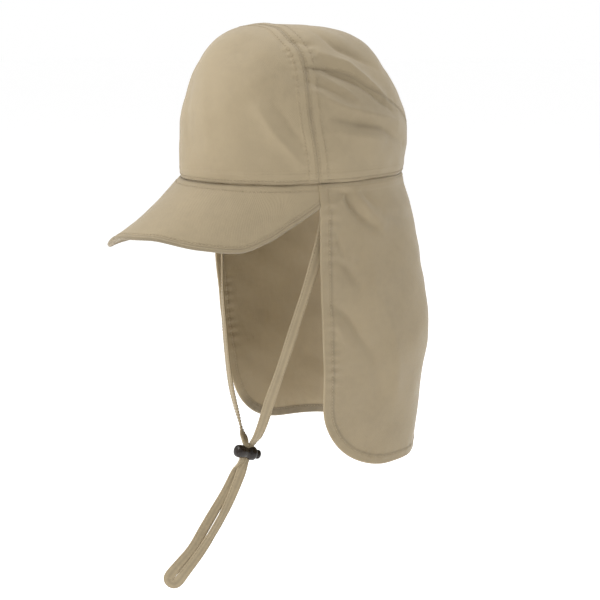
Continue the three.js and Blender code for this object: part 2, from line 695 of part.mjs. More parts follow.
function latheSolid(profile) {
  const points = profile.map((p) => new THREE.Vector2(p.radius, p.y));
  return toSolid(new THREE.LatheGeometry(points, ROUND_SIDES));
}

function slotSolid(lowY, highY) {
  const box = new THREE.BoxGeometry(2 * LOCK_SLOT_HALF_WIDTH, highY - lowY, 30);
  return toSolid(box.translate(0, (lowY + highY) / 2, 0));
}

function lockBarrelGeometry() {
  const boreRadius = PLUNGER_RADIUS + SLIDING_GAP;
  const boreLength = BARREL_MOUTH + 2 - BORE_BOTTOM;
  const bore = new THREE.CylinderGeometry(boreRadius, boreRadius, boreLength, ROUND_SIDES);
  bore.translate(0, BORE_BOTTOM + boreLength / 2, 0);
  return fromSolid(
    latheSolid(BARREL_PROFILE)
      .subtract(toSolid(bore))
      .subtract(slotSolid(-LOCK_SLOT_HALF_LENGTH, LOCK_SLOT_HALF_LENGTH)),
  );
}

function lockPlungerGeometry() {
  const profile = [
    { radius: 0, y: PLUNGER_FOOT },
    { radius: PLUNGER_RADIUS, y: PLUNGER_FOOT },
    { radius: PLUNGER_RADIUS, y: PLUNGER_SHOULDER },
    { radius: PLUNGER_HEAD_RADIUS, y: PLUNGER_SHOULDER },
    { radius: PLUNGER_HEAD_RADIUS, y: PLUNGER_END - 0.45 * PLUNGER_HEAD_LENGTH },
    { radius: 0.75 * PLUNGER_HEAD_RADIUS, y: PLUNGER_END - 0.1 * PLUNGER_HEAD_LENGTH },
    { radius: 0, y: PLUNGER_END },
  ];
  const slot = slotSolid(-LOCK_SLOT_HALF_LENGTH, LOCK_SLOT_HALF_LENGTH + PLUNGER_TRAVEL);
  return fromSolid(latheSolid(profile).subtract(slot));
}

// ---- the cap ------------------------------------------------------------------------------------
const KHAKI = 0xb3a283;
const KHAKI_SHADE = 0xa8977a;
const STRAP_KHAKI = 0xbcab8e;
const LOCK_BLACK = 0x241d16;

const cap = new THREE.Group();
for (const [name, solid] of Object.entries(crownPanels())) {
  cap.add(namedMesh(name, fromSolid(solid), KHAKI, 0.9));
}
cap.add(namedMesh("bill", billGeometry(), KHAKI, 0.9));
cap.add(namedMesh("neck_flap", flapGeometry(), KHAKI_SHADE, 0.92));
cap.add(namedMesh("chin_strap", strapGeometry(), STRAP_KHAKI, 0.85));

const cordLock = new THREE.Group();
cordLock.position.copy(LOCK_CENTRE);
cordLock.rotation.x = -rad(LOCK_TILT);
cordLock.add(namedMesh("cord_lock_barrel", lockBarrelGeometry(), LOCK_BLACK, 0.35));
cordLock.add(namedMesh("cord_lock_plunger", lockPlungerGeometry(), LOCK_BLACK, 0.4));
cap.add(cordLock);

export default cap;
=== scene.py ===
"""A khaki fishing cap with a curved bill, a long neck flap and a chin strap in a spring cord lock.

Forms are worked out in millimetres, as in the CAD source, and the meshes are made in metres.
The bill points along -Y, the wearer's left is +X, and the origin is the centre of the head band.
"""

import math

import bmesh
import bpy
import numpy as np
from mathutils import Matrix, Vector


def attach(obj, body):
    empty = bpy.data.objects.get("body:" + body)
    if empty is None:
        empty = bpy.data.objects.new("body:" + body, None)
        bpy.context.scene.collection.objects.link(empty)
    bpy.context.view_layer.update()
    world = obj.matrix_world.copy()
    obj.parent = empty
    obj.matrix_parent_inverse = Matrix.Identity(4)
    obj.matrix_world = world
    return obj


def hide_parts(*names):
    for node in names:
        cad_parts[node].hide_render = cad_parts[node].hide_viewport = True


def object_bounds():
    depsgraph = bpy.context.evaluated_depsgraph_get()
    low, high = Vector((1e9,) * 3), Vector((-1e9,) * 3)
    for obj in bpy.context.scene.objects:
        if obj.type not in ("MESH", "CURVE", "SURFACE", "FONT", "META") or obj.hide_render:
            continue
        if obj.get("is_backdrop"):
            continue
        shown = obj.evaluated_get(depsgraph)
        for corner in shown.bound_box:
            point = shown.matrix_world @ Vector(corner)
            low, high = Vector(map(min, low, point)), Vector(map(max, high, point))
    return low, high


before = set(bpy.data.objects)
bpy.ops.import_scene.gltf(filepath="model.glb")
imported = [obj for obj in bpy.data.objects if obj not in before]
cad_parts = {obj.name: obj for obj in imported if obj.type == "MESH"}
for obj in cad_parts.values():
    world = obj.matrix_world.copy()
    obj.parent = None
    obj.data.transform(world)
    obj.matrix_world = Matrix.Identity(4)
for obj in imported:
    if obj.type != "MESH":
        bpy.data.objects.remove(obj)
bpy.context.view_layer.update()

MM = 0.001

# ---- driving dimensions, in millimetres, as in the CAD source ----
BAND_HALF_WIDTH = 83
BAND_HALF_LENGTH = 102
CROWN_HEIGHT = 126
CROWN_EVEN_BAND = 12
CROWN_FULLEST_BELOW = 90
CLOTH = 1.5
FRONT_EDGE_ANGLE = 74.1  # where bill and flap meet, in degrees round from the front
TOP_PANEL_ANGLE = 165  # where the top panel's side seams reach the band

BILL_HALF_WIDTH = 84.6
BILL_REACH = 140.3
BILL_REAR_Y = -29.9
BILL_THICKNESS = 3
BILL_SAG = 3

FLAP_LENGTH = 253
FLAP_DRAWN_BACK = 5
FLAP_SIDE_SHARE = 0.55
FLAP_CORNER_RADIUS = 62
FLAP_CLOTH = 1.4
HEM_WIDTH = 8.5
HEM_EXTRA = 0.4

STRAP_WIDTH = 9
STRAP_THICKNESS = 1.7
TAIL_TURN_RADIUS = 4.6

LOCK_CENTRE = np.array((0.0, -50.0, -249.0))
LOCK_TILT = 20
LOCK_SLOT_HALF_WIDTH = 2.1
LOCK_SLOT_HALF_LENGTH = 4.9
PLUNGER_TRAVEL = 2.5
PLUNGER_RADIUS = 3.5
PLUNGER_HEAD_RADIUS = 4.2
PLUNGER_HEAD_LENGTH = 3.2
SLIDING_GAP = 0.3
BARREL_MOUTH = 8.6
BORE_BOTTOM = -9.8

# ---- tables ----
# Powers of the crown's rounded outline in section and in plan, and its bulge: front, back.
CROWN_FORM = {"section": (2.6, 2.45), "plan": (3.7, 2.8), "bulge": (0.012, 0.067)}

BILL_EDGE = {
    "angle": (0, 22, 45, 60, 70, 80, 90, 100),
    "z": (-40.2, -39.2, -47.2, -50.8, -44.2, -32.2, -19.9, -7),
}
BILL_BENDS = ((-34, 20, 9, 0), (-20, 12, 8, 4))  # angle, spread, drop, out

FLAP_FLARE = {
    "depth": (0, 0.12, 0.3, 0.5, 0.75, 1),
    "back": (0.4, 9, 18, 25, 21, 15),
    "left": (0.4, 1.5, 1, 0, -4, -9),
    "right": (0.4, 5, 9, 7, -2, -9),
}

# Seams of the crown as (angle round from the front, in degrees; rise, 0 at the band, 1 on top).
EAR_SEAM = (
    (74.1, 0), (72.3, 0.1), (70.5, 0.19), (69.2, 0.3), (69, 0.42), (67.5, 0.52),
    (64, 0.62), (57, 0.72), (46, 0.835), (28, 0.9), (0, 0.927),
)
SIDE_SEAM = (
    (68.3, 0.47), (87.3, 0.444), (95.7, 0.414), (104.3, 0.358), (117.3, 0.293),
    (127.5, 0.251), (142, 0.185), (156, 0.09), (165, 0),
)
# Folds of the crown as (height, width, side of the cap, line of (angle, rise) points).
CROWN_FOLDS = (
    (-3.2, 5, 1, ((69.5, 0.46), (78, 0.457), (85, 0.427), (96.5, 0.385), (103.5, 0.343),
                  (112, 0.283), (120, 0.24))),
    (3, 6, 1, ((78, 0.56), (88, 0.52), (95, 0.49), (102.5, 0.417), (109.5, 0.362), (118, 0.28))),
    (-3, 7, 1, ((82, 0.75), (88, 0.67), (94.5, 0.6), (110, 0.52), (122, 0.46))),
    (1.8, 5, 1, ((75, 0.42), (86.5, 0.355), (97, 0.285))),
    (-1.5, 4, 1, ((69, 0.388), (74.5, 0.367), (79, 0.348), (86, 0.31))),
    (3, 6, 1, ((71, 0.335), (81, 0.285), (87, 0.26), (97, 0.235), (111.5, 0.21), (125, 0.185))),
    (-3, 6, 1, ((80, 0.215), (91, 0.193), (99, 0.182), (110.5, 0.165), (119.5, 0.13), (134, 0.09))),
    (1.5, 6, 1, ((82, 0.15), (96.5, 0.135), (112, 0.113))),
    (-2, 6, 1, ((58, 0.675), (67, 0.647), (76, 0.625))),
    (2.4, 6, 1, ((44, 0.25), (50.5, 0.173), (56.5, 0.118), (65, 0.045))),
    (-2.2, 7, 1, ((52, 0.28), (60, 0.185), (67, 0.1))),
    (-1.6, 13, 1, ((-17, 0.45), (-8, 0.24), (0, 0.08))),
    (1.2, 12, 1, ((2, 0.46), (12, 0.25), (18, 0.08))),
    (-2.6, 7, -1, ((72, 0.45), (90, 0.42), (108, 0.34), (126, 0.25))),
    (2.6, 8, -1, ((74, 0.32), (92, 0.26), (112, 0.2))),
    (-2.2, 8, -1, ((86, 0.66), (102, 0.58), (120, 0.5))),
)
# Folds of the flap as (height, width, line of (place, depth) points): place is -1 at the wearer's
# left front edge, 0 at the back and 1 at the right front edge.
FLAP_FOLDS = (
    (-4.5, 6, ((-0.95, 5), (-0.87, 8), (-0.855, 14), (-0.83, 22), (-0.79, 30), (-0.73, 39))),
    (2.6, 7, ((-0.84, 6), (-0.79, 17), (-0.745, 27), (-0.68, 38))),
    (-2, 6, ((-0.79, 4), (-0.75, 15), (-0.68, 24))),
    (-2.2, 9, ((-0.66, 28), (-0.58, 34), (-0.48, 38), (-0.38, 40))),
    (-1.2, 4, ((-0.92, 42), (-0.905, 52), (-0.885, 62))),
    (-1.8, 5, ((-0.92, 64), (-0.87, 72), (-0.825, 87))),
    (-3, 6, ((-0.94, 102), (-0.9, 109), (-0.86, 118), (-0.83, 130), (-0.78, 142))),
    (1.8, 6, ((-0.95, 113), (-0.92, 124), (-0.88, 138))),
    (3, 14, ((-0.79, 50), (-0.765, 79), (-0.745, 101), (-0.69, 118))),
    (-2.4, 14, ((-0.8, 136), (-0.755, 155), (-0.71, 185))),
    (2.4, 12, ((-0.67, 130), (-0.645, 165), (-0.63, 200))),
    (3, 26, ((-0.45, 60), (-0.42, 130), (-0.4, 200))),
    (-3, 24, ((-0.2, 90), (-0.18, 150), (-0.2, 253))),
    (3, 26, ((0.08, 60), (0.1, 140), (0.1, 253))),
    (-3.5, 24, ((0.4, 80), (0.38, 150), (0.4, 230))),
    (-3, 8, ((0.92, 8), (0.84, 16), (0.76, 34), (0.7, 50))),
    (2.2, 8, ((0.84, 6), (0.76, 20), (0.69, 38))),
)

# Middle line of one side of the strap, from its sewn end inside the band down to the lock: x on the
# left, x on the right, y, half the strands' distance along y, z, and the slope of the strap's width
# outward on the left and on the right.
STRAP_SIDE = (
    (78.5, 78.5, -20, 0, 8, 0.19, 0.19), (78, 78.4, -21, 0, -32, 0.23, 0.19),
    (71.5, 76, -26, 0, -68, 0.38, 0.6), (58.5, 69, -32, 0, -110, 0.52, 2.2),
    (43.5, 54.5, -38, 0, -155, 0.6, 6), (27.5, 35, -43.5, 0.8, -196, 0.58, 6),
    (15.5, 16, -45.6, 2, -222, 0.45, 2.6), (8.2, 8.4, -46.2, 2.2, -234, 0.2, 0.8),
    (3.6, 3.8, -47, 1.6, -240.4, 0, 0),
)
LOCK_PASSAGE = (6.2, 0, -6.2)
STRAND_OFFSET = 1
# Middle line of the hanging tail: x, y, z, how far each strand lies to its side and lifts, and the
# slopes of the left and the right strand's width.
TAIL = (
    (-2.5, -58, -269, 2.4, 0.95, 0.5, 0.5), (-5.5, -65.2, -286, 3.3, 1, 0.6, 0.8),
    (-9.5, -73.6, -304, 4.2, 1, 0.1, 0.8), (-14, -83.6, -323, 4.3, 1, 0.1, 0.8),
    (-19, -93.5, -341, 3.9, 1, 0.6, 0.8), (-26, -104.5, -358, 4.5, 0.6, 0.8, 0.8),
)
TAIL_END = (-30.3, -110.5, -367.7)  # the centre that the strap turns round
TAIL_END_SLOPE = 0.8
TAIL_TURN_ANGLES = (0, 45, 90, 135, 180)

# Outline of the lock's barrel along its own axis, as (radius, y).
BARREL_PROFILE = (
    (0, -11.6), (3.2, -11.6), (4.7, -11), (5.5, -9.6), (5.8, -7.4), (5.7, -4.8), (5.2, -2.2),
    (5, -0.6), (5.3, 1.2), (6.1, 3), (6.4, 5), (6.3, 7.2), (5.7, 8.3), (4.9, 8.6), (0, 8.6),
)


# ---- small tools ----
def lerp(a, b, t):
    return a + (b - a) * t


def smooth(t):
    t = np.clip(t, 0, 1)
    return t * t * (3 - 2 * t)


def bump(distance, width):
    """A soft ridge of height 1 over a distance of 0."""
    return np.exp(-((distance / width) ** 2))


def unit(v):
    return v / np.maximum(np.linalg.norm(v, axis=-1, keepdims=True), 1e-12)


def eased(count, ends=0.6):
    """Values from 0 to 1 that lie closer together near both ends."""
    t = np.linspace(0, 1, count)
    return t - ends / (2 * np.pi) * np.sin(2 * np.pi * t)


def table_curve(xs, ys):
    """Smooth curve through table values that never overshoots them."""
    xs, ys = np.array(xs, float), np.array(ys, float)
    steps = np.diff(ys) / np.diff(xs)
    slopes = np.zeros_like(xs)
    turning = steps[:-1] * steps[1:] > 0
    both = np.where(turning, steps[:-1] + steps[1:], 1)
    slopes[1:-1] = np.where(turning, 2 * steps[:-1] * steps[1:] / both, 0)

    def curve(x):
        x = np.clip(x, xs[0], xs[-1])
        i = np.clip(np.searchsorted(xs, x) - 1, 0, len(xs) - 2)
        width = xs[i + 1] - xs[i]
        t = (x - xs[i]) / width
        start = ys[i] * (1 + 2 * t) * (1 - t) ** 2 + slopes[i] * width * t * (1 - t) ** 2
        end = ys[i + 1] * t * t * (3 - 2 * t) - slopes[i + 1] * width * t * t * (1 - t)
        return start + end

    return curve


def spline(points, per_span):
    """Centripetal Catmull-Rom curve through the points."""
    p = np.array(points, float)
    p = np.vstack([2 * p[0] - p[1], p, 2 * p[-1] - p[-2]])
    spans = np.maximum(np.linalg.norm(np.diff(p, axis=0), axis=1) ** 0.5, 1e-4)
    t = np.linspace(0, 1, per_span, endpoint=False)[:, None]
    line = []
    for i in range(1, len(p) - 2):
        before, here, after = spans[i - 1], spans[i], spans[i + 1]
        leave = (p[i] - p[i - 1]) / before - (p[i + 1] - p[i - 1]) / (before + here)
        leave = (leave + (p[i + 1] - p[i]) / here) * here
        arrive = (p[i + 1] - p[i]) / here - (p[i + 2] - p[i]) / (here + after)
        arrive = (arrive + (p[i + 2] - p[i + 1]) / after) * here
        step = p[i + 1] - p[i]
        cubic = leave + arrive - 2 * step
        square = 3 * step - 2 * leave - arrive
        line.append(p[i] + leave * t + square * t**2 + cubic * t**3)
    return np.vstack([*line, p[-2:-1]])


def lengths_along(line):
    return np.concatenate([[0], np.cumsum(np.linalg.norm(np.diff(line, axis=0), axis=1))])


def resample(line, spots, at=None):
    """Values of a line at shares from 0 to 1 of its length, or of the measure "at"."""
    along = lengths_along(line) if at is None else at
    wanted = np.asarray(spots) * along[-1]
    return np.stack([np.interp(wanted, along, column) for column in line.T], -1)


def line_distance(points, line):
    """Distance from each point to a line of points, and the place along it from 0 to 1."""
    flat = points.reshape(-1, points.shape[-1])
    best = np.full(len(flat), np.inf)
    along = np.zeros(len(flat))
    for i in range(len(line) - 1):
        step = line[i + 1] - line[i]
        t = np.clip((flat - line[i]) @ step / max(step @ step, 1e-12), 0, 1)
        distance = np.linalg.norm(flat - line[i] - t[:, None] * step, axis=1)
        nearer = distance < best
        best[nearer] = distance[nearer]
        along[nearer] = (i + t[nearer]) / (len(line) - 1)
    shape = points.shape[:-1]
    return best.reshape(shape), along.reshape(shape)


CREASE = {"soft": 0.8, "sharp": 0.35, "narrow": 0.4}  # shares of a fold's height and of its width


def fold_shift(points, folds):
    """Ridges and valleys along lines: folds are (height, width, line of points). Each is a soft
    wave, as in the CAD source, with a narrower crease on the same line."""
    shift = np.zeros(points.shape[:-1])
    for height, width, line in folds:
        distance, along = line_distance(points, line)
        taper = 0.35 + 0.65 * np.sin(np.pi * np.clip(along, 0.02, 0.98))
        soft = CREASE["soft"] * bump(distance, width)
        sharp = CREASE["sharp"] * bump(distance, CREASE["narrow"] * width)
        shift += height * taper * (soft + sharp)
    return shift


def wander(points, size, seed):
    """Slow random waves of about that size in millimetres, between -1 and 1, alike in each run."""
    random = np.random.default_rng(seed)
    waves = 9
    total = np.zeros(points.shape[:-1])
    for _ in range(waves):
        direction = unit(random.normal(size=points.shape[-1]))
        turn = 2 * np.pi / (size * random.uniform(0.7, 1.6))
        total += np.sin(points @ (direction * turn) + random.uniform(0, 2 * np.pi))
    return total / waves**0.5


def surface_normals(surface, a, b, step_a, step_b):
    along_a = surface(a + step_a, b) - surface(a - step_a, b)
    along_b = surface(a, b + step_b) - surface(a, b - step_b)
    return unit(np.cross(along_a, along_b))


def length_map(grid):
    """Arc lengths across and up a grid of points, for the weave."""
    across = np.linalg.norm(np.diff(grid, axis=1), axis=2)
    up = np.linalg.norm(np.diff(grid, axis=0), axis=2)
    u = np.pad(np.cumsum(across, 1), ((0, 0), (1, 0)))
    u -= u[:, grid.shape[1] // 2][:, None]
    v = np.pad(np.cumsum(up, 0), ((1, 0), (0, 0)))
    return np.stack([u, v], -1)


# ---- making pieces ----
def linked(name, data):
    """A new object of that data in the scene."""
    thing = bpy.data.objects.new(name, data)
    bpy.context.scene.collection.objects.link(thing)
    return thing


def mesh_piece(name, points, faces, material, uv=None, painted_shading=None):
    """A smooth mesh object from points in millimetres, with its weave map and its painted shading.
    """
    mesh = bpy.data.meshes.new(name)
    mesh.from_pydata((points * MM).tolist(), [], faces)
    if uv is not None:
        corners = np.zeros(len(mesh.loops), int)
        mesh.loops.foreach_get("vertex_index", corners)
        layer = mesh.uv_layers.new(name="cloth")
        layer.uv.foreach_set("vector", (uv * MM)[corners].astype(np.float32).ravel())
    if painted_shading is not None:
        layer = mesh.attributes.new("painted_shading", "FLOAT", "POINT")
        layer.data.foreach_set("value", painted_shading.astype(np.float32))
    work = bmesh.new()
    work.from_mesh(mesh)
    bmesh.ops.remove_doubles(work, verts=work.verts, dist=0.002 * MM)
    bmesh.ops.dissolve_degenerate(work, edges=work.edges, dist=0.001 * MM)
    work.to_mesh(mesh)
    work.free()
    mesh.polygons.foreach_set("use_smooth", [True] * len(mesh.polygons))
    mesh.materials.append(material)
    return linked(name, mesh)


def grid_faces(index):
    """Four-sided faces of a grid of vertex numbers."""
    corners = (index[:-1, :-1], index[:-1, 1:], index[1:, 1:], index[1:, :-1])
    return np.stack(corners, -1).reshape(-1, 4)


def wall_piece(name, outer, inner, material, uv, painted_shading):
    """A closed wall between two grids of points, seen from outside with rows up, columns right."""
    rows, columns = outer.shape[:2]
    out = np.arange(rows * columns).reshape(rows, columns)
    inn = out + rows * columns
    rims = [
        np.stack([inn[0], out[0]]),
        np.stack([out[-1], inn[-1]]),
        np.stack([inn[:, 0], out[:, 0]], 1),
        np.stack([out[:, -1], inn[:, -1]], 1),
    ]
    faces = [grid_faces(out), grid_faces(inn[:, ::-1]), *map(grid_faces, rims)]
    points = np.vstack([outer.reshape(-1, 3), inner.reshape(-1, 3)])
    uv = np.vstack([uv.reshape(-1, 2)] * 2)
    painted_shading = np.broadcast_to(painted_shading, (2, rows, columns)).ravel()
    return mesh_piece(name, points, np.vstack(faces).tolist(), material, uv, painted_shading)


def ring_piece(name, rings, material, ends, uv=None, painted_shading=None):
    """A bar through rings of points. Its ends are faces, unless they are rings on the axis."""
    count, sides = rings.shape[:2]
    index = np.arange(count * sides).reshape(count, sides)
    index = np.hstack([index, index[:, :1]])
    faces = grid_faces(index[:, ::-1]).tolist()
    if ends:
        faces += [index[0, :-1].tolist(), index[-1, -2::-1].tolist()]
    return mesh_piece(name, rings.reshape(-1, 3), faces, material, uv, painted_shading)


def place(piece, slot, *nodes, body="cap"):
    """The piece rides on a body and stands for CAD nodes. Its slot is not used."""
    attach(piece, body)
    if nodes:
        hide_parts(*nodes)
    return piece


STITCH = {"pitch": 2.9, "length": 2.3, "radius": 0.3, "sides": 6}
# Rings of one stitch, half of it: place in lengths from its middle, thickness in radii, height.
STITCH_HALF = ((0.2, 1, 0.12), (0.42, 0.75, -0.1), (0.5, 0.15, -0.35))


def stitch_piece(name, rows, material, slot):
    """Thread stitches along rows, each row a line of points with a normal at each point."""
    turn = np.arange(STITCH["sides"]) / STITCH["sides"] * 2 * np.pi
    stations = [(-share, *rest) for share, *rest in STITCH_HALF[::-1]] + list(STITCH_HALF)
    stitches = []
    for line, normals in rows:
        along = lengths_along(line)
        count = int(along[-1] // STITCH["pitch"])
        middle = (np.arange(count) + 0.5) * STITCH["pitch"] / along[-1]
        half = STITCH["length"] / 2 / along[-1]
        start = resample(line, middle - half)
        end = resample(line, middle + half)
        up = unit(resample(normals, middle, along))
        ahead = unit(end - start)
        side = unit(np.cross(up, ahead))
        centre = (start + end) / 2 + up * 0.12
        rings = []
        for share, thick, height in stations:
            spine = centre + ahead * share * STITCH["length"] + up * height
            radius = STITCH["radius"] * thick
            out = side[:, None] * np.cos(turn)[:, None] * radius
            rings.append(spine[:, None] + (out + up[:, None] * np.sin(turn)[:, None] * radius))
        stitches.append(np.stack(rings, 1))
    stitches = np.concatenate(stitches)
    index = np.arange(stitches.size // 3).reshape(stitches.shape[:3])
    wrapped = np.concatenate([index, index[..., :1]], 2)
    faces = []
    for one in wrapped:
        faces += grid_faces(one).tolist()
        faces.append(one[0, -2::-1].tolist())
        faces.append(one[-1, :-1].tolist())
    return place(mesh_piece(name, stitches.reshape(-1, 3), faces, material), slot)


# ---- materials ----
class Nodes:
    """A short way to add and join the nodes of one material."""

    def __init__(self, name):
        self.material = bpy.data.materials.new(name)
        self.material.use_nodes = True
        self.tree = self.material.node_tree
        self.shader = self.tree.nodes["Principled BSDF"]

    def add(self, kind, inputs=(), **settings):
        node = self.tree.nodes.new(kind)
        for key, value in settings.items():
            setattr(node, key, value)
        for socket, value in dict(inputs).items():
            self.set(node.inputs[socket], value)
        return node

    def set(self, socket, value):
        if isinstance(value, bpy.types.NodeSocket):
            self.tree.links.new(value, socket)
        else:
            socket.default_value = value

    def finished(self, looks, dents=None):
        """The material with its looks, and with a bump of (height, strength, depth) if wanted."""
        if dents is not None:
            looks = {**looks, "Normal": self.bump(*dents)}
        for socket, value in looks.items():
            self.set(self.shader.inputs[socket], value)
        return self.material

    def bump(self, height, strength, depth, over=None):
        inputs = {"Height": height, "Strength": strength, "Distance": depth}
        if over is not None:
            inputs["Normal"] = over
        return self.add("ShaderNodeBump", inputs).outputs[0]

    def place(self):
        return self.add("ShaderNodeTexCoord").outputs["Object"]

    def math(self, operation, a, b=0.0, c=0.0):
        return self.add("ShaderNodeMath", {0: a, 1: b, 2: c}, operation=operation).outputs[0]

    def blend(self, a, share, b):
        return self.math("MULTIPLY_ADD", a, share, b)

    def noise(self, vector, scale, detail=2.0):
        inputs = {"Vector": vector, "Scale": scale, "Detail": detail}
        return self.add("ShaderNodeTexNoise", inputs).outputs["Fac"]

    def ramp(self, value, stops):
        node = self.add("ShaderNodeValToRGB", {"Fac": value})
        elements = node.color_ramp.elements
        for i, (spot, colour) in enumerate(stops):
            stop = elements[i] if i < len(elements) else elements.new(spot)
            stop.position = spot
            stop.color = (*colour, 1)
        return node.outputs["Color"]


def scaled(colour, factor):
    return tuple(min(c * factor, 1) for c in colour)


def cloth_material(name, colour, thread=0.62, relief=0.07, glow=0):
    """Matte twill: diagonal ribs over crossing threads, and uneven dye. Thin cloth glows."""
    n = Nodes(name)
    weave = n.add("ShaderNodeUVMap", uv_map="cloth").outputs[0]
    spot = n.place()
    split = n.add("ShaderNodeSeparateXYZ", {0: weave})
    turn = 2 * math.pi / (thread * MM)
    warp = n.math("SINE", n.math("MULTIPLY", split.outputs[0], turn))
    weft = n.math("SINE", n.math("MULTIPLY", split.outputs[1], turn))
    both = n.math("ADD", split.outputs[0], split.outputs[1])
    rib = n.math("SINE", n.math("MULTIPLY", both, turn / 2))
    threads = n.blend(n.math("MULTIPLY", warp, weft), 0.5, rib)
    drawn = n.add("ShaderNodeMapping", {"Vector": weave, "Scale": (1, 0.12, 1)}).outputs[0]
    slub = n.noise(drawn, 1500)
    broad = n.noise(spot, 16, 3)
    fine = n.noise(spot, 160, 3)
    # Painted light and shade, read from each mesh's painted_shading attribute.
    painted_shading = n.add("ShaderNodeAttribute", attribute_name="painted_shading").outputs["Fac"]
    shade = n.blend(painted_shading, 0.5, 0.5)
    for uneven, share in ((broad, 0.32), (fine, 0.16), (slub, 0.1)):
        shade = n.blend(n.math("SUBTRACT", uneven, 0.5), share, shade)
    shade = n.blend(threads, 0.02, shade)
    stops = ((0, scaled(colour, 0.45)), (0.5, colour), (1, scaled(colour, 1.3)))
    looks = {
        "Base Color": n.ramp(shade, stops),
        "Roughness": n.blend(fine, 0.12, 0.6),
        "Subsurface Weight": glow,
        "Subsurface Radius": (1, 0.9, 0.7),
        "Subsurface Scale": 2 * MM,
        "Sheen Weight": 0.22,
        "Sheen Roughness": 0.45,
        "Sheen Tint": (0.95, 0.92, 0.88, 1),
        "Specular IOR Level": 0.5,
    }
    weave_bump = n.bump(n.blend(slub, 0.9, threads), 0.55, relief * MM)
    return n.finished(looks, (fine, 0.5, 0.5 * MM, weave_bump))


def thread_material(name, colour):
    """Twisted sewing thread."""
    n = Nodes(name)
    spot = n.place()
    twist = n.noise(spot, 2600, 1)
    stops = ((0.3, scaled(colour, 0.75)), (0.7, colour))
    looks = {"Base Color": n.ramp(twist, stops), "Roughness": 0.62, "Sheen Weight": 0.2}
    return n.finished(looks, (twist, 0.4, 0.08 * MM))


def plastic_material(name, colour):
    """Glossy moulded plastic with faint handling marks."""
    n = Nodes(name)
    spot = n.place()
    marks = n.noise(spot, 420, 4)
    cloud = n.noise(spot, 90, 2)
    stops = ((0.3, scaled(colour, 0.8)), (0.75, scaled(colour, 1.6)))
    looks = {
        "Base Color": n.ramp(cloud, stops),
        "Roughness": n.blend(marks, 0.16, 0.14),
        "Specular IOR Level": 0.32,
        "Coat Weight": 0.1,
        "Coat Roughness": 0.12,
    }
    return n.finished(looks, (marks, 0.25, 0.08 * MM))


KHAKI = (0.33, 0.262, 0.16)
khaki = cloth_material("khaki_twill", KHAKI)
khaki_flap = cloth_material("khaki_twill_flap", scaled(KHAKI, 0.96), glow=0.35)
tape = cloth_material("khaki_tape", scaled(KHAKI, 1.1), thread=0.5)
thread = thread_material("khaki_thread", scaled(KHAKI, 1.12))
lock_black = plastic_material("lock_plastic_black", (0.016, 0.011, 0.008))

# ---- crown ----
# Places on the crown are spots on a disc: its middle is the top, its rim the band, and its radius
# the share of the way down, measured along the cloth.
rises = np.linspace(0, 1, 2000)


def form(key, back):
    return lerp(*CROWN_FORM[key], back)


def crown_profile(angle, rise):
    back = 0.5 - 0.5 * np.cos(angle)
    turn = np.clip(rise, 0, 1) * np.pi / 2
    z = CROWN_HEIGHT * np.sin(turn) ** (2 / form("section", back))
    shrink = np.clip(np.cos(turn), 0, 1) ** (2 / form("plan", back))
    bulge = form("bulge", back) * np.sin(np.pi * np.clip(z / CROWN_FULLEST_BELOW, 0, 1))
    across = np.stack([BAND_HALF_WIDTH * np.sin(angle), -BAND_HALF_LENGTH * np.cos(angle)], -1)
    return np.concatenate([across * (shrink * (1 + bulge))[..., None], z[..., None]], -1)


side_profile = crown_profile(np.full(len(rises), np.pi / 2), rises[::-1])
ways_down = lengths_along(side_profile) / lengths_along(side_profile)[-1]


def spot_of(angle, rise):
    """Spot on the disc of an angle in degrees and a rise."""
    radius = np.interp(1 - np.asarray(rise, float), 1 - rises[::-1], ways_down)
    angle = np.radians(angle)
    return np.stack([radius * np.sin(angle), -radius * np.cos(angle)], -1)


def crown_base(spots):
    radius = np.hypot(spots[..., 0], spots[..., 1])
    angle = np.arctan2(spots[..., 0], -spots[..., 1])
    return crown_profile(angle, 1 - np.interp(radius, ways_down, 1 - rises[::-1]))


def crown_normals(spots):
    radius = np.linalg.norm(spots, axis=-1, keepdims=True)
    inside = spots * np.minimum(1, 0.985 / np.maximum(radius, 1e-9))
    return surface_normals(
        lambda x, y: crown_base(np.stack([x, y], -1)), inside[..., 0], inside[..., 1], 0.006, 0.006
    )


def seam_spots(rows):
    """A seam's line on the disc, close and even."""
    line = spline([(angle, rise * 100) for angle, rise in rows], 24)
    spots = spot_of(line[:, 0], line[:, 1] / 100)
    return resample(spots, np.linspace(0, 1, 240))


MIRROR = np.array((-1, 1))
ear_left = seam_spots(EAR_SEAM)
side_left = seam_spots(SIDE_SEAM)
junction = int(np.argmin(np.linalg.norm(ear_left - side_left[0], axis=1)))
side_left[0] = ear_left[junction]
ear_low = ear_left[: junction + 1]
ear_top = np.vstack([ear_left[junction:], (ear_left[junction:-1] * MIRROR)[::-1]])
ear_line = np.vstack([ear_left, (ear_left[:-1] * MIRROR)[::-1]])

crown_folds = [
    (height, width, crown_base(spline(spot_of(*np.array(line, float).T) * (side, 1), 6)))
    for height, width, side, line in CROWN_FOLDS
]
ear_seam = crown_base(ear_line[::2])
side_seams = [crown_base(side_left[::3] * (side, 1)) for side in (1, -1)]
SEAM_ROWS = (1.8, 8.2)  # rows of stitches beside the ear seam
LAP_ROW = 1.8  # row of stitches on the top panel, beside the side seams
BAND_ROW = 2.6  # row of stitches above the band
BAND_TAPE = 9  # height of the raised tape along the band
BILL_FADE = -2  # behind this y the painted shade along the band line is lighter
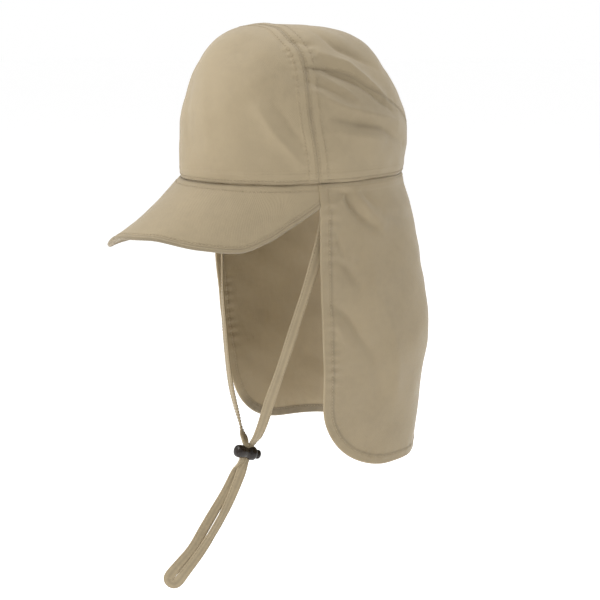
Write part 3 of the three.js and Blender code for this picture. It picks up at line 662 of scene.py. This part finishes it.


def seam_relief(distance, along, length, rows, seed):
    """A groove, the raised seam allowance beside it, sunk rows of stitches and their puckers."""
    wide = rows[-1]
    groove = -0.55 * bump(distance, 1.1)
    raised = 0.55 * (1 - smooth((distance - wide) / 1.8))
    sunk = -0.35 * sum(bump(distance - row, 0.7) for row in rows)
    travel = along * length
    uneven = np.sin(travel / 17 + seed) + 0.6 * np.sin(travel / 7.3 + 2 * seed)
    pucker = 0.16 * np.sin(2 * np.pi * travel / 8.6 + 2.6 * uneven) * bump(distance - wide - 1, 4)
    return groove + raised + sunk + pucker * (0.8 + 0.7 * uneven)


def crown_surface(spots):
    """The outer face of the crown, its normals and its painted shading."""
    base = crown_base(spots)
    normals = crown_normals(spots)
    height = fold_shift(base, crown_folds) * smooth(base[..., 2] / CROWN_EVEN_BAND)
    ear, ear_along = line_distance(base, ear_seam)
    relief = seam_relief(ear, ear_along, 400, SEAM_ROWS, 1)
    # Painted shade in the grooves of the ear seam and the side seams.
    painted_shade = 0.4 * bump(ear, 1.2)
    for number, seam in enumerate(side_seams):
        distance, along = line_distance(base, seam)
        relief += seam_relief(distance, along, 150, (LAP_ROW,), 3 + number)
        painted_shade = np.maximum(painted_shade, 0.4 * bump(distance, 1.3))
    above = base[..., 2]
    relief += 0.45 * (1 - smooth((above - BAND_TAPE) / 2)) - 0.35 * bump(above - BAND_ROW, 0.7)
    relief -= 0.35 * bump(above - BAND_TAPE, 0.8) + 0.5 * bump(above, 1)
    # Painted shade along the band line, deeper over the bill.
    over_bill = smooth((BILL_FADE - base[..., 1]) / 12)
    painted_shade = np.maximum(painted_shade, (0.25 + 0.3 * over_bill) * bump(above, 1.8))
    relief += 0.55 * wander(base, 46, 5) + 0.22 * wander(base, 17, 6)
    # Painted shade in the hollows of the relief and painted highlight on its ridges.
    painted_shading = -0.75 * painted_shade + 0.05 * np.clip(relief, -1, 1)
    return base + normals * (height + relief)[..., None], normals, painted_shading


def coons(bottom, top, left, right, columns, rows):
    """Spots filled in between four lines. Rows go up and columns go across."""
    across = eased(columns)[None, :, None]
    up = eased(rows)[:, None, None]
    low, high = resample(bottom, across[0, :, 0])[None], resample(top, across[0, :, 0])[None]
    near, far = resample(left, up[:, 0, 0])[:, None], resample(right, up[:, 0, 0])[:, None]
    corners = lerp(lerp(bottom[0], bottom[-1], across), lerp(top[0], top[-1], across), up)
    return lerp(low, high, up) + lerp(near, far, across) - corners


def band_arc(start, end):
    return spot_of(np.linspace(start, end, 80), np.zeros(80))


def crown_panel(name, spots, node):
    outer, normals, painted_shading = crown_surface(spots)
    inner = outer - normals * CLOTH
    piece = wall_piece(name, outer, inner, khaki, length_map(outer), painted_shading)
    return place(piece, "crown_cloth", node)


def crown_pieces():
    corner = np.array([ear_left[junction]] * 2)
    sides = side_left[::-1]
    side = coons(band_arc(FRONT_EDGE_ANGLE, TOP_PANEL_ANGLE), corner, ear_low, sides, 110, 96)
    crown_panel("crown_side_left", side, "crown_side_panel_left")
    crown_panel("crown_side_right", (side * MIRROR)[:, ::-1], "crown_side_panel_right")
    bottom = band_arc(-FRONT_EDGE_ANGLE, FRONT_EDGE_ANGLE)
    front = coons(bottom, ear_top[::-1], ear_low * MIRROR, ear_low, 210, 136)
    crown_panel("crown_front", front, "crown_front_panel")
    bottom = band_arc(TOP_PANEL_ANGLE, 360 - TOP_PANEL_ANGLE)
    top = coons(bottom, ear_top, sides, sides * MIRROR, 150, 170)
    crown_panel("crown_top", top, "crown_top_panel")


def beside(line, offset):
    """A line of spots moved sideways on the crown by so many millimetres."""
    step = 0.003
    base = crown_base(line)
    along_x = (crown_base(line + (step, 0)) - base) / step
    along_y = (crown_base(line + (0, step)) - base) / step
    across = unit(np.cross(unit(np.gradient(base, axis=0)), crown_normals(line))) * offset
    slopes = np.stack([along_x, along_y], -1)
    return line + np.stack([np.linalg.lstsq(s, a, rcond=None)[0] for s, a in zip(slopes, across)])


def crown_stitches():
    even = resample(ear_line, np.linspace(0.012, 0.988, 160))
    lines = [beside(even, side * row) for side in (-1, 1) for row in SEAM_ROWS]
    for side in (1, -1):
        seam = resample(side_left, np.linspace(0.07, 0.97, 70)) * (side, 1)
        lines.append(beside(seam, -side * LAP_ROW))
    rows = [crown_surface(line)[:2] for line in lines]
    angles = np.linspace(-np.pi, np.pi, 400)
    rise = np.interp(BAND_ROW, side_profile[::-1, 2], rises)
    rows.append(crown_surface(spot_of(np.degrees(angles), np.full(400, rise)))[:2])
    stitch_piece("crown_stitches", rows, thread, "crown_cloth")


# ---- band line, bill and flap ----
def band_point(angle, out, depth):
    x, y = np.sin(angle), -np.cos(angle)
    normal = unit(np.stack([x / BAND_HALF_WIDTH, y / BAND_HALF_LENGTH], -1))
    across = np.stack([BAND_HALF_WIDTH * x, BAND_HALF_LENGTH * y], -1)
    across = across + normal * np.asarray(out)[..., None]
    return np.concatenate([across, -np.broadcast_to(depth, angle.shape)[..., None]], -1)


bill_edge_height = table_curve(BILL_EDGE["angle"], BILL_EDGE["z"])


def bill_line(side):
    """Both ends of the bill's straight lines from the band out to its edge."""
    degrees = side * 90
    bends = [(bump(degrees - angle, spread), drop, out) for angle, spread, drop, out in BILL_BENDS]
    out = sum(share * out for share, _, out in bends)
    x = (BILL_HALF_WIDTH + out) * np.sin(side * np.pi / 2)
    y = BILL_REAR_Y - (BILL_REACH + out) * np.cos(side * np.pi / 2)
    z = bill_edge_height(np.abs(degrees)) - sum(share * drop for share, drop, _ in bends)
    zero = np.zeros_like(side)
    return band_point(math.radians(FRONT_EDGE_ANGLE) * side, zero, 0.3), np.stack([x, y, z], -1)


def bill_base(side, reach):
    band, edge = bill_line(side)
    sag = BILL_SAG * 4 * reach * (1 - reach) * np.cos(side * np.pi / 2)
    return lerp(band, edge, reach[..., None]) - sag[..., None] * (0, 0, 1)


def bill_measures(side):
    """A whole reach at that side, measured square to the bill's edge and to its band line."""
    band, edge = bill_line(side)
    ruling = edge - band
    near, far = np.clip(side - 0.01, -1, 1), np.clip(side + 0.01, -1, 1)
    found = []
    for low, high in zip(bill_line(near), bill_line(far)):
        along = unit(high - low)
        square = ruling - along * (ruling * along).sum(-1, keepdims=True)
        found.append(np.linalg.norm(square, axis=-1))
    return found[1], found[0]


BILL_EDGE_ROW = BILL_BAND_ROW = 5.5  # rows of stitches inside the bill's edge and its band line
PIPING = {"middle": 1.6, "groove": 3.2}  # the bill's piped edge, measured in from its rim


def bill_surface(side, reach, face=1):
    """Upper (face 1) or lower (face -1) side of the bill, its normals and its painted shading."""
    at = np.clip(side, -0.98, 0.98), np.clip(reach, 0.03, 0.97)
    normals = -surface_normals(bill_base, *at, 0.01, 0.02)
    to_edge, to_band = bill_measures(side)
    edge, band = (1 - reach) * to_edge, reach * to_band
    inner = BILL_THICKNESS / 2
    round_edge = np.sqrt(np.clip(1 - (1 - np.clip(edge / inner, 0, 1)) ** 2, 0, 1))
    piping = 0.3 * bump(edge - PIPING["middle"], 1.1) - 0.3 * bump(edge - PIPING["groove"], 0.6)
    sunk = -0.3 * (bump(edge - BILL_EDGE_ROW, 0.6) + bump(band - BILL_BAND_ROW, 0.7))
    fullness = 0.35 * smooth(band / 8) * smooth(edge / 8)
    spot = bill_base(side, reach)
    waves = (0.35 * wander(spot, 60, 11) + 0.12 * wander(spot, 19, 12)) * smooth(edge / 6)
    relief = (piping + sunk + fullness + waves) * smooth(edge / 0.8)
    relief -= 0.5 * bump(band, 1.0)
    # Painted shade along the band line, in the groove of the piped edge and round the rim.
    painted_shade = np.maximum(0.5 * bump(band, 1.8), 0.55 * bump(edge - PIPING["groove"], 0.7))
    painted_shading = -0.7 * painted_shade - 0.6 * bump(edge, 1.4)
    middle = spot - normals * inner
    return middle + face * normals * (inner * round_edge + relief)[..., None], normals * face, painted_shading


def bill_piece():
    side, reach = np.meshgrid(lerp(-1, 1, eased(300, 0.5)), 1 - eased(110, 0.75))
    outer, _, painted_shading = bill_surface(side, reach)
    inner = bill_surface(side, reach, -1)[0]
    piece = wall_piece("bill_cover", outer, inner, khaki, length_map(outer), painted_shading)
    place(piece, "bill_cloth", "bill")
    side = np.linspace(-0.985, 0.985, 260)
    to_edge, to_band = bill_measures(side)
    reaches = (1 - BILL_EDGE_ROW / to_edge, BILL_BAND_ROW / to_band)
    rows = [bill_surface(side, reach, face)[:2] for reach in reaches for face in (1, -1)]
    stitch_piece("bill_stitches", rows, thread, "bill_cloth")


flare = {
    key: table_curve(FLAP_FLARE["depth"], FLAP_FLARE[key]) for key in ("back", "left", "right")
}
FLAP_HALF_SPAN = math.pi - math.radians(FRONT_EDGE_ANGLE)
FLAP_HALF_ARC = FLAP_HALF_SPAN * (BAND_HALF_WIDTH + BAND_HALF_LENGTH) / 2
HEM_ROW = HEM_WIDTH - 1
BILL_END = {"depth": 17, "height": 3.6, "width": 13}  # the flap comes out to meet the bill's ends
FRONT_OPEN = {"from": 20, "over": 8}  # below this depth the flap's front edges hang free
TOP_SPREAD = 0.003  # share of its arc by which the flap passes the bill's ends at the top
INSIDE_PAINTED_LIGHT = {"pale": 0.5, "hem": 1.1, "from": 215, "over": 20}  # painted light: the inside lightened, and its hem near the bottom darkened as painted shade


def flap_base(place_, depth):
    share = depth / FLAP_LENGTH
    drawn_back = math.radians(FLAP_DRAWN_BACK) * smooth(share)
    angle = np.pi + place_ * (FLAP_HALF_SPAN - drawn_back)
    back = smooth((1 - np.abs(place_)) / FLAP_SIDE_SHARE)
    edge = np.where(place_ < 0, flare["left"](share), flare["right"](share))
    meeting = (1 - np.abs(place_)) * FLAP_HALF_ARC / BILL_END["width"]
    edge = edge + BILL_END["height"] * np.exp(-(meeting**2)) * bump(depth - BILL_END["depth"], 13)
    return band_point(angle, lerp(edge, flare["back"](share), back), depth + 0.3)


def hem_depth(place_):
    from_edge = (1 - np.abs(place_)) * FLAP_HALF_ARC
    rounded = np.clip(1 - from_edge / FLAP_CORNER_RADIUS, 0, 1)
    return FLAP_LENGTH - FLAP_CORNER_RADIUS * (1 - np.sqrt(1 - rounded**2))


def hem_place(place_, depth):
    """Distance from the flap's free edge, and travel along that edge."""
    radius = FLAP_CORNER_RADIUS
    from_edge = (1 - np.abs(place_)) * FLAP_HALF_ARC
    above = FLAP_LENGTH - depth
    over, across = radius - above, radius - from_edge
    corner = (over > 0) & (across > 0)
    distance = np.where(corner, radius - np.hypot(over, across), np.minimum(from_edge, above))
    straight = FLAP_LENGTH - radius
    turning = straight + radius * np.arctan2(np.maximum(over, 0), np.maximum(across, 1e-6))
    flat = straight + radius * np.pi / 2 + from_edge - radius
    return distance, np.where(corner, turning, np.where(from_edge < above, depth, flat))


flap_folds = [(height, width, flap_base(*spline(line, 6).T)) for height, width, line in FLAP_FOLDS]


def flap_surface(place_, depth, face=1):
    """Outer (face 1) or inner (face -1) side of the flap, its normals and its painted shading."""
    at = np.clip(place_, -0.99, 0.99), np.clip(depth, 1, FLAP_LENGTH - 1)
    normals = -surface_normals(flap_base, *at, 0.008, 1)
    open_edge = smooth((depth - FRONT_OPEN["from"]) / FRONT_OPEN["over"])
    base = flap_base(place_ * (1 + TOP_SPREAD - TOP_SPREAD * open_edge), depth)
    distance, travel = hem_place(place_, depth)
    shift = fold_shift(base, flap_folds) * smooth(depth / 12)
    shift += 0.7 * wander(base, 85, 21) * smooth(depth / 60) + 0.25 * wander(base, 24, 22)
    uneven = np.sin(travel / 19) + 0.6 * np.sin(travel / 8.1)
    pucker = np.sin(2 * np.pi * travel / 8.5 + 1.5 * uneven) * (0.6 + 0.4 * uneven)
    shift += 0.42 * pucker * bump(distance - HEM_WIDTH, 5.5) * smooth(depth / 20)
    hem = (1 - smooth((distance - HEM_WIDTH + 0.5) / 1.0)) * open_edge
    sunk = 0.3 * bump(distance - HEM_ROW, 0.6) * open_edge
    half = FLAP_CLOTH / 2 + HEM_EXTRA * hem - sunk
    edge_round = np.clip(distance / 1.1 + 1 - open_edge, 0, 1)
    half = half * np.sqrt(np.clip(1 - (1 - edge_round) ** 2, 0, 1))
    seam = 0.35 * (1 - smooth((depth - 7) / 2)) - 0.3 * bump(depth - BAND_ROW, 0.7)
    half = half + face * (seam - 0.9 * bump(depth, 0.9))
    # Painted shade along the band line, deeper beside the bill, and in the step inside the hem; the
    # free edge itself is made a little lighter.
    near_bill = smooth((np.abs(place_) - 0.88) / 0.06)
    painted_shade = (0.3 + 0.5 * near_bill) * bump(depth, 1.5)
    painted_shade = np.maximum(painted_shade, 0.45 * bump(distance - HEM_WIDTH - 0.4, 0.8) * open_edge)
    painted_shading = -0.75 * painted_shade + 0.1 * bump(distance - 0.8, 1)
    # Painted light on the inner face: it is lightened all over, and its hem near the bottom is
    # darkened as painted shade.
    if face < 0:
        low = smooth((depth - INSIDE_PAINTED_LIGHT["from"]) / INSIDE_PAINTED_LIGHT["over"])
        painted_shading += INSIDE_PAINTED_LIGHT["pale"] - INSIDE_PAINTED_LIGHT["hem"] * hem * low
    middle = base - normals * FLAP_CLOTH / 2
    points = middle + normals * shift[..., None] + face * normals * half[..., None]
    return points, normals * face, painted_shading


def flap_piece():
    corner = FLAP_CORNER_RADIUS * (1 - np.cos(np.linspace(0, np.pi / 2, 54)))
    side = np.linspace(FLAP_CORNER_RADIUS, FLAP_HALF_ARC, 62)[1:]
    right = 1 - np.concatenate([corner, side]) / FLAP_HALF_ARC
    places = np.concatenate([-right, right[-2::-1]])
    share = 1 - eased(160, 0.5)
    place_, share = np.meshgrid(places, share)
    depth = share * hem_depth(place_)
    outer, _, outer_tone = flap_surface(place_, depth)
    inner, _, inner_tone = flap_surface(place_, depth, -1)
    painted_shading = np.stack([outer_tone, inner_tone])
    uv = np.stack([place_ * FLAP_HALF_ARC, -depth], -1)
    piece = wall_piece("flap_cloth", outer, inner, khaki_flap, uv, painted_shading)
    place(piece, "flap_cloth", "neck_flap")
    row = hem_row(HEM_ROW)
    band = np.linspace(-0.99, 0.99, 300), np.full(300, float(BAND_ROW))
    rows = [flap_surface(*line, face)[:2] for line in (row, band) for face in (1, -1)]
    stitch_piece("flap_stitches", rows, thread, "flap_cloth")


def hem_row(inset):
    """Places and depths of a line that runs inside the flap's free edge, round both corners."""
    turn = np.linspace(0, np.pi / 2, 60)
    radius = FLAP_CORNER_RADIUS - inset
    straight = np.linspace(4, FLAP_LENGTH - FLAP_CORNER_RADIUS, 90)[:-1]
    bottom = np.linspace(FLAP_CORNER_RADIUS, FLAP_HALF_ARC, 80)[1:]
    inside = np.full(len(straight), float(inset))
    from_edge = np.concatenate([inside, FLAP_CORNER_RADIUS - radius * np.cos(turn), bottom])
    corner = FLAP_LENGTH - FLAP_CORNER_RADIUS + radius * np.sin(turn)
    depth = np.concatenate([straight, corner, np.full(len(bottom), float(FLAP_LENGTH - inset))])
    right = 1 - from_edge / FLAP_HALF_ARC
    return np.concatenate([-right, right[-2::-1]]), np.concatenate([depth, depth[-2::-1]])


# ---- chin strap ----
lock_turn = math.radians(LOCK_TILT)
LOCK_DOWN = np.array((0, -math.sin(lock_turn), -math.cos(lock_turn)))
LOCK_ALONG = np.array((0, math.cos(lock_turn), -math.sin(lock_turn)))


def turned(slopes):
    """Directions of the tape's width for its slopes outward."""
    slopes = np.asarray(slopes, float)
    return np.stack([slopes, np.ones_like(slopes), np.zeros_like(slopes)], -1)


def strap_across(fore, along):
    """Direction of the tape's width, as near as can be to "fore"."""
    return unit(fore - along * (fore * along).sum(-1, keepdims=True))


def strap_route():
    """The loop's points, down the left side, round the tail and up the right side, and its width's
    directions there."""
    left, right, y, apart, z, *side_slopes = np.array(STRAP_SIDE, float).T
    tail = np.array([row[:3] for row in TAIL], float)
    spread, raise_, *tail_slopes = np.array(TAIL, float)[:, 3:].T
    spine = np.vstack([LOCK_CENTRE, tail, TAIL_END])
    along = unit(spine[2:] - spine[:-2])
    across = strap_across(turned(np.full(len(tail), TAIL_END_SLOPE)), along)
    apart_in_tail = across * spread[:, None] + np.cross(along, across) * raise_[:, None]
    passage = LOCK_CENTRE - np.outer(LOCK_PASSAGE, LOCK_DOWN)
    strands = {}
    for number, sign in enumerate((1, -1)):
        side = np.stack([sign * (left, right)[number], y + sign * apart, z], -1)
        through = passage + (sign * STRAND_OFFSET, 0, 0)
        slopes = (sign * side_slopes[number], np.zeros(len(passage)), tail_slopes[number])
        fores = sign * np.vstack([turned(slope) for slope in slopes])
        strands[sign] = np.hstack([np.vstack([side, through, tail + sign * apart_in_tail]), fores])
    ahead = unit(spine[-1] - spine[-2])
    beside_ = strap_across(turned(TAIL_END_SLOPE), ahead)
    angles = np.radians(TAIL_TURN_ANGLES)[:, None]
    fores = beside_ * np.cos(angles) + ahead * np.sin(angles)
    end = np.hstack([TAIL_END + fores * TAIL_TURN_RADIUS, fores])
    return np.split(np.vstack([strands[1], end, strands[-1][::-1]]), 2, axis=1)


STATION = 1.25  # millimetres between the tape's rings
GATHER = {"from": 5.5, "over": 13, "half_width": 2.35, "half_thick": 1.75}  # the tape in the lock
TAPE_MIDDLE, TAPE_ROWS = 0.05, 0.72  # its groove and rows of stitches, in half widths


def strap_piece(lock):
    points, fores = strap_route()
    per_span = 24
    line = spline(points, per_span)
    stations = np.arange(len(line)) / per_span
    fore = np.stack([np.interp(stations, np.arange(len(fores)), column) for column in fores.T], -1)
    count = int(lengths_along(line)[-1] / STATION)
    even = resample(np.hstack([line, fore]), np.linspace(0, 1, count), lengths_along(line))
    line, fore = np.split(even, 2, axis=1)
    from_lock = np.linalg.norm(line - LOCK_CENTRE, axis=1)
    gather = 1 - smooth((from_lock - GATHER["from"]) / GATHER["over"])[:, None]
    strand = np.where(np.arange(count) < count / 2, 1, -1)[:, None]
    line = line + gather * (strand * GATHER["half_width"] * LOCK_ALONG - line * (1, 0, 0))
    along = unit(np.gradient(line, axis=0))
    across = strap_across(fore, along)
    lift = np.cross(along, across)
    travel = lengths_along(line)
    uneven = 1 + 0.05 * np.sin(travel / 31) + 0.04 * np.sin(travel / 11 + 1)
    half_width = lerp(STRAP_WIDTH / 2 * uneven, GATHER["half_width"], gather[:, 0])
    half_thick = lerp(STRAP_THICKNESS / 2, GATHER["half_thick"], gather[:, 0])
    turn = np.linspace(0, 2 * np.pi, 32, endpoint=False)
    w = np.sign(np.cos(turn)) * np.abs(np.cos(turn)) ** 0.45
    h = np.sign(np.sin(turn)) * np.abs(np.sin(turn)) ** 0.55
    fold = 0.42 * bump(w - TAPE_MIDDLE, 0.13) + 0.16 * bump(np.abs(w) - TAPE_ROWS, 0.1)
    ripple = 0.05 * np.sin(2 * np.pi * travel / 5.2 + 2 * np.sin(travel / 23))
    h = h * (1 - fold)
    out = across[:, None] * (half_width[:, None] * w)[..., None]
    up = lift[:, None] * (half_thick[:, None] * h + ripple[:, None])[..., None]
    rings = line[:, None] + out + up
    uv = np.stack(np.broadcast_arrays(w * STRAP_WIDTH / 2, travel[:, None]), -1).reshape(-1, 2)
    # Painted shade in the tape's middle groove and along its rows of stitches.
    shade = -0.5 * bump(w - TAPE_MIDDLE, 0.1) - 0.2 * bump(np.abs(w) - TAPE_ROWS, 0.08)
    painted_shading = np.broadcast_to(shade, rings.shape[:2]).ravel()
    piece = ring_piece("strap_tape", rings, tape, True, uv, painted_shading)
    place(piece, "strap_tape", "chin_strap")
    rows = []
    for share, face in ((TAPE_ROWS, 1), (-TAPE_ROWS, 1), (TAPE_ROWS, -1), (-TAPE_ROWS, -1)):
        spine = line + across * (half_width * share)[:, None]
        spine = spine + face * lift * (half_thick * 0.92)[:, None]
        for strand_rows in (slice(4, count // 2 - 12), slice(count // 2 + 12, count - 4)):
            rows.append((spine[strand_rows], face * lift[strand_rows]))
    stitch_piece("strap_stitches", rows, thread, "strap_tape")


# ---- cord lock ----
def lathe(name, profile, material, sides=96):
    """A round piece from (radius, y) rows that start and end on its axis."""
    turn = np.linspace(0, 2 * np.pi, sides, endpoint=False)
    radius, y = np.array(profile, float).T
    x, z = np.outer(radius, np.cos(turn)), -np.outer(radius, np.sin(turn))
    rings = np.stack([x, np.broadcast_to(y[:, None], x.shape), z], -1)
    return ring_piece(name, rings, material, False)


def slot_cutter(low_y, high_y):
    """A box with rounded edges that cuts the strap's slot right through the lock."""
    reach, rounding = 15, 0.8
    low, high = (-LOCK_SLOT_HALF_WIDTH, low_y, -reach), (LOCK_SLOT_HALF_WIDTH, high_y, reach)
    size, middle = np.subtract(high, low), np.add(high, low) / 2
    work = bmesh.new()
    bmesh.ops.create_cube(work, size=1)
    for vertex in work.verts:
        vertex.co = Vector((np.array(vertex.co) * size + middle) * MM)
    bmesh.ops.bevel(
        work, geom=work.edges, offset=rounding * MM, segments=4, affect="EDGES", profile=0.5
    )
    mesh = bpy.data.meshes.new("slot")
    work.to_mesh(mesh)
    work.free()
    mesh.materials.append(lock_black)
    return linked("slot", mesh)


def cut(piece, *cutters):
    """Takes the cutters out of the piece, rounds what is left a little and removes the cutters."""
    for cutter in cutters:
        modifier = piece.modifiers.new("cut", "BOOLEAN")
        modifier.operation = "DIFFERENCE"
        modifier.solver = "EXACT"
        modifier.object = cutter
    bevel = piece.modifiers.new("rounding", "BEVEL")
    bevel.width = 0.25 * MM
    bevel.segments = 3
    bevel.limit_method = "ANGLE"
    bevel.angle_limit = math.radians(40)
    bpy.context.view_layer.update()
    made = piece.evaluated_get(bpy.context.evaluated_depsgraph_get())
    mesh = bpy.data.meshes.new_from_object(made)
    piece.modifiers.clear()
    piece.data = mesh
    mesh.polygons.foreach_set("use_smooth", [True] * len(mesh.polygons))
    for cutter in cutters:
        bpy.data.objects.remove(cutter)
    return piece


def lock_pieces():
    bore = PLUNGER_RADIUS + SLIDING_GAP
    outline = np.vstack([BARREL_PROFILE[0], spline(BARREL_PROFILE[1:-1], 8), BARREL_PROFILE[-1]])
    barrel = lathe("lock_barrel", outline, lock_black)
    beyond = BARREL_MOUTH + 2
    hole = ((0, BORE_BOTTOM), (bore, BORE_BOTTOM), (bore, beyond), (0, beyond))
    slot = slot_cutter(-LOCK_SLOT_HALF_LENGTH, LOCK_SLOT_HALF_LENGTH)
    cut(barrel, lathe("bore", hole, lock_black), slot)
    foot = BORE_BOTTOM + PLUNGER_TRAVEL + SLIDING_GAP
    shoulder = BARREL_MOUTH + PLUNGER_TRAVEL + SLIDING_GAP
    end = shoulder + PLUNGER_HEAD_LENGTH
    head = PLUNGER_HEAD_RADIUS
    button = (
        (head - 0.5, shoulder), (head, shoulder + 0.5), (head, end - 1.6),
        (head - 0.5, end - 0.7), (head - 1.6, end - 0.2), (head - 3, end),
    )
    stem = ((0, foot), (PLUNGER_RADIUS, foot), (PLUNGER_RADIUS, shoulder))
    profile = np.vstack([*stem, spline(button, 6), (0, end)])
    plunger = lathe("lock_plunger", profile, lock_black)
    cut(plunger, slot_cutter(-LOCK_SLOT_HALF_LENGTH, LOCK_SLOT_HALF_LENGTH + PLUNGER_TRAVEL))
    for piece in (barrel, plunger):
        piece.rotation_euler = (-lock_turn, 0, 0)
        piece.location = LOCK_CENTRE * MM
    place(barrel, "lock_plastic", "cord_lock_barrel")
    place(plunger, "lock_plastic", "cord_lock_plunger", body="plunger")
    return [barrel, plunger]


# ---- camera, floor and light ----
CAMERA_AT, CAMERA_TARGET = (0.8705, -0.5872, 0.121), (0, 0, -0.115)
LIGHTS = (  # name, place in metres, size, power, colour
    ("key", (-0.8, -1.5, 1.2), 1.2, 26, (1, 0.99, 0.97)),
    ("front", (0.62, -1.9, -0.72), 0.9, 18, (1, 0.99, 0.98)),
    ("top", (0.1, 0.5, 2.1), 1.8, 29, (1, 1, 1)),
)
LIT_POINT = (0, 0, -0.12)
ROOM_LIGHT = 0.6  # light from all around; the pale background itself shows white
FLOOR = {"drop": 0.2, "radius": 30, "white": 0.995, "roughness": 0.9}


def look_at(thing, place_, target):
    thing.location = place_
    thing.rotation_euler = (Vector(target) - Vector(place_)).to_track_quat("-Z", "Y").to_euler()


def camera():
    data = bpy.data.cameras.new("camera")
    data.sensor_width, data.lens, data.shift_x = 36, 72, 0.0125
    viewer = linked("camera", data)
    look_at(viewer, CAMERA_AT, CAMERA_TARGET)
    bpy.context.scene.camera = viewer


def studio():
    under = (0, 0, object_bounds()[0].z - FLOOR["drop"])
    bpy.ops.mesh.primitive_circle_add(
        vertices=96, radius=FLOOR["radius"], fill_type="NGON", location=under
    )
    floor = bpy.context.object
    floor.name = "floor"
    n = Nodes("pale_floor")
    looks = {
        "Base Color": (*[FLOOR["white"]] * 3, 1),
        "Roughness": FLOOR["roughness"],
        "Emission Color": (1, 1, 1, 1),
        "Emission Strength": 1 - ROOM_LIGHT,
    }
    floor.data.materials.append(n.finished(looks))
    floor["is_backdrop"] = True
    for name, spot, size, power, colour in LIGHTS:
        data = bpy.data.lights.new(name, "AREA")
        data.size, data.energy, data.color = size, power, colour
        look_at(linked(name, data), spot, LIT_POINT)
    world = bpy.data.worlds.new("studio")
    world.use_nodes = True
    tree = world.node_tree
    seen = tree.nodes.new("ShaderNodeLightPath").outputs["Is Camera Ray"]
    lift = tree.nodes.new("ShaderNodeMath")
    lift.operation = "MULTIPLY_ADD"
    tree.links.new(seen, lift.inputs[0])
    lift.inputs[1].default_value = 1 - ROOM_LIGHT
    lift.inputs[2].default_value = ROOM_LIGHT
    background = tree.nodes["Background"]
    background.inputs["Color"].default_value = (1, 1, 1, 1)
    tree.links.new(lift.outputs[0], background.inputs["Strength"])
    bpy.context.scene.world = world
    bpy.context.scene.view_settings.view_transform = "Standard"


camera()
strap_piece(lock_pieces())
crown_pieces()
crown_stitches()
bill_piece()
flap_piece()
studio()
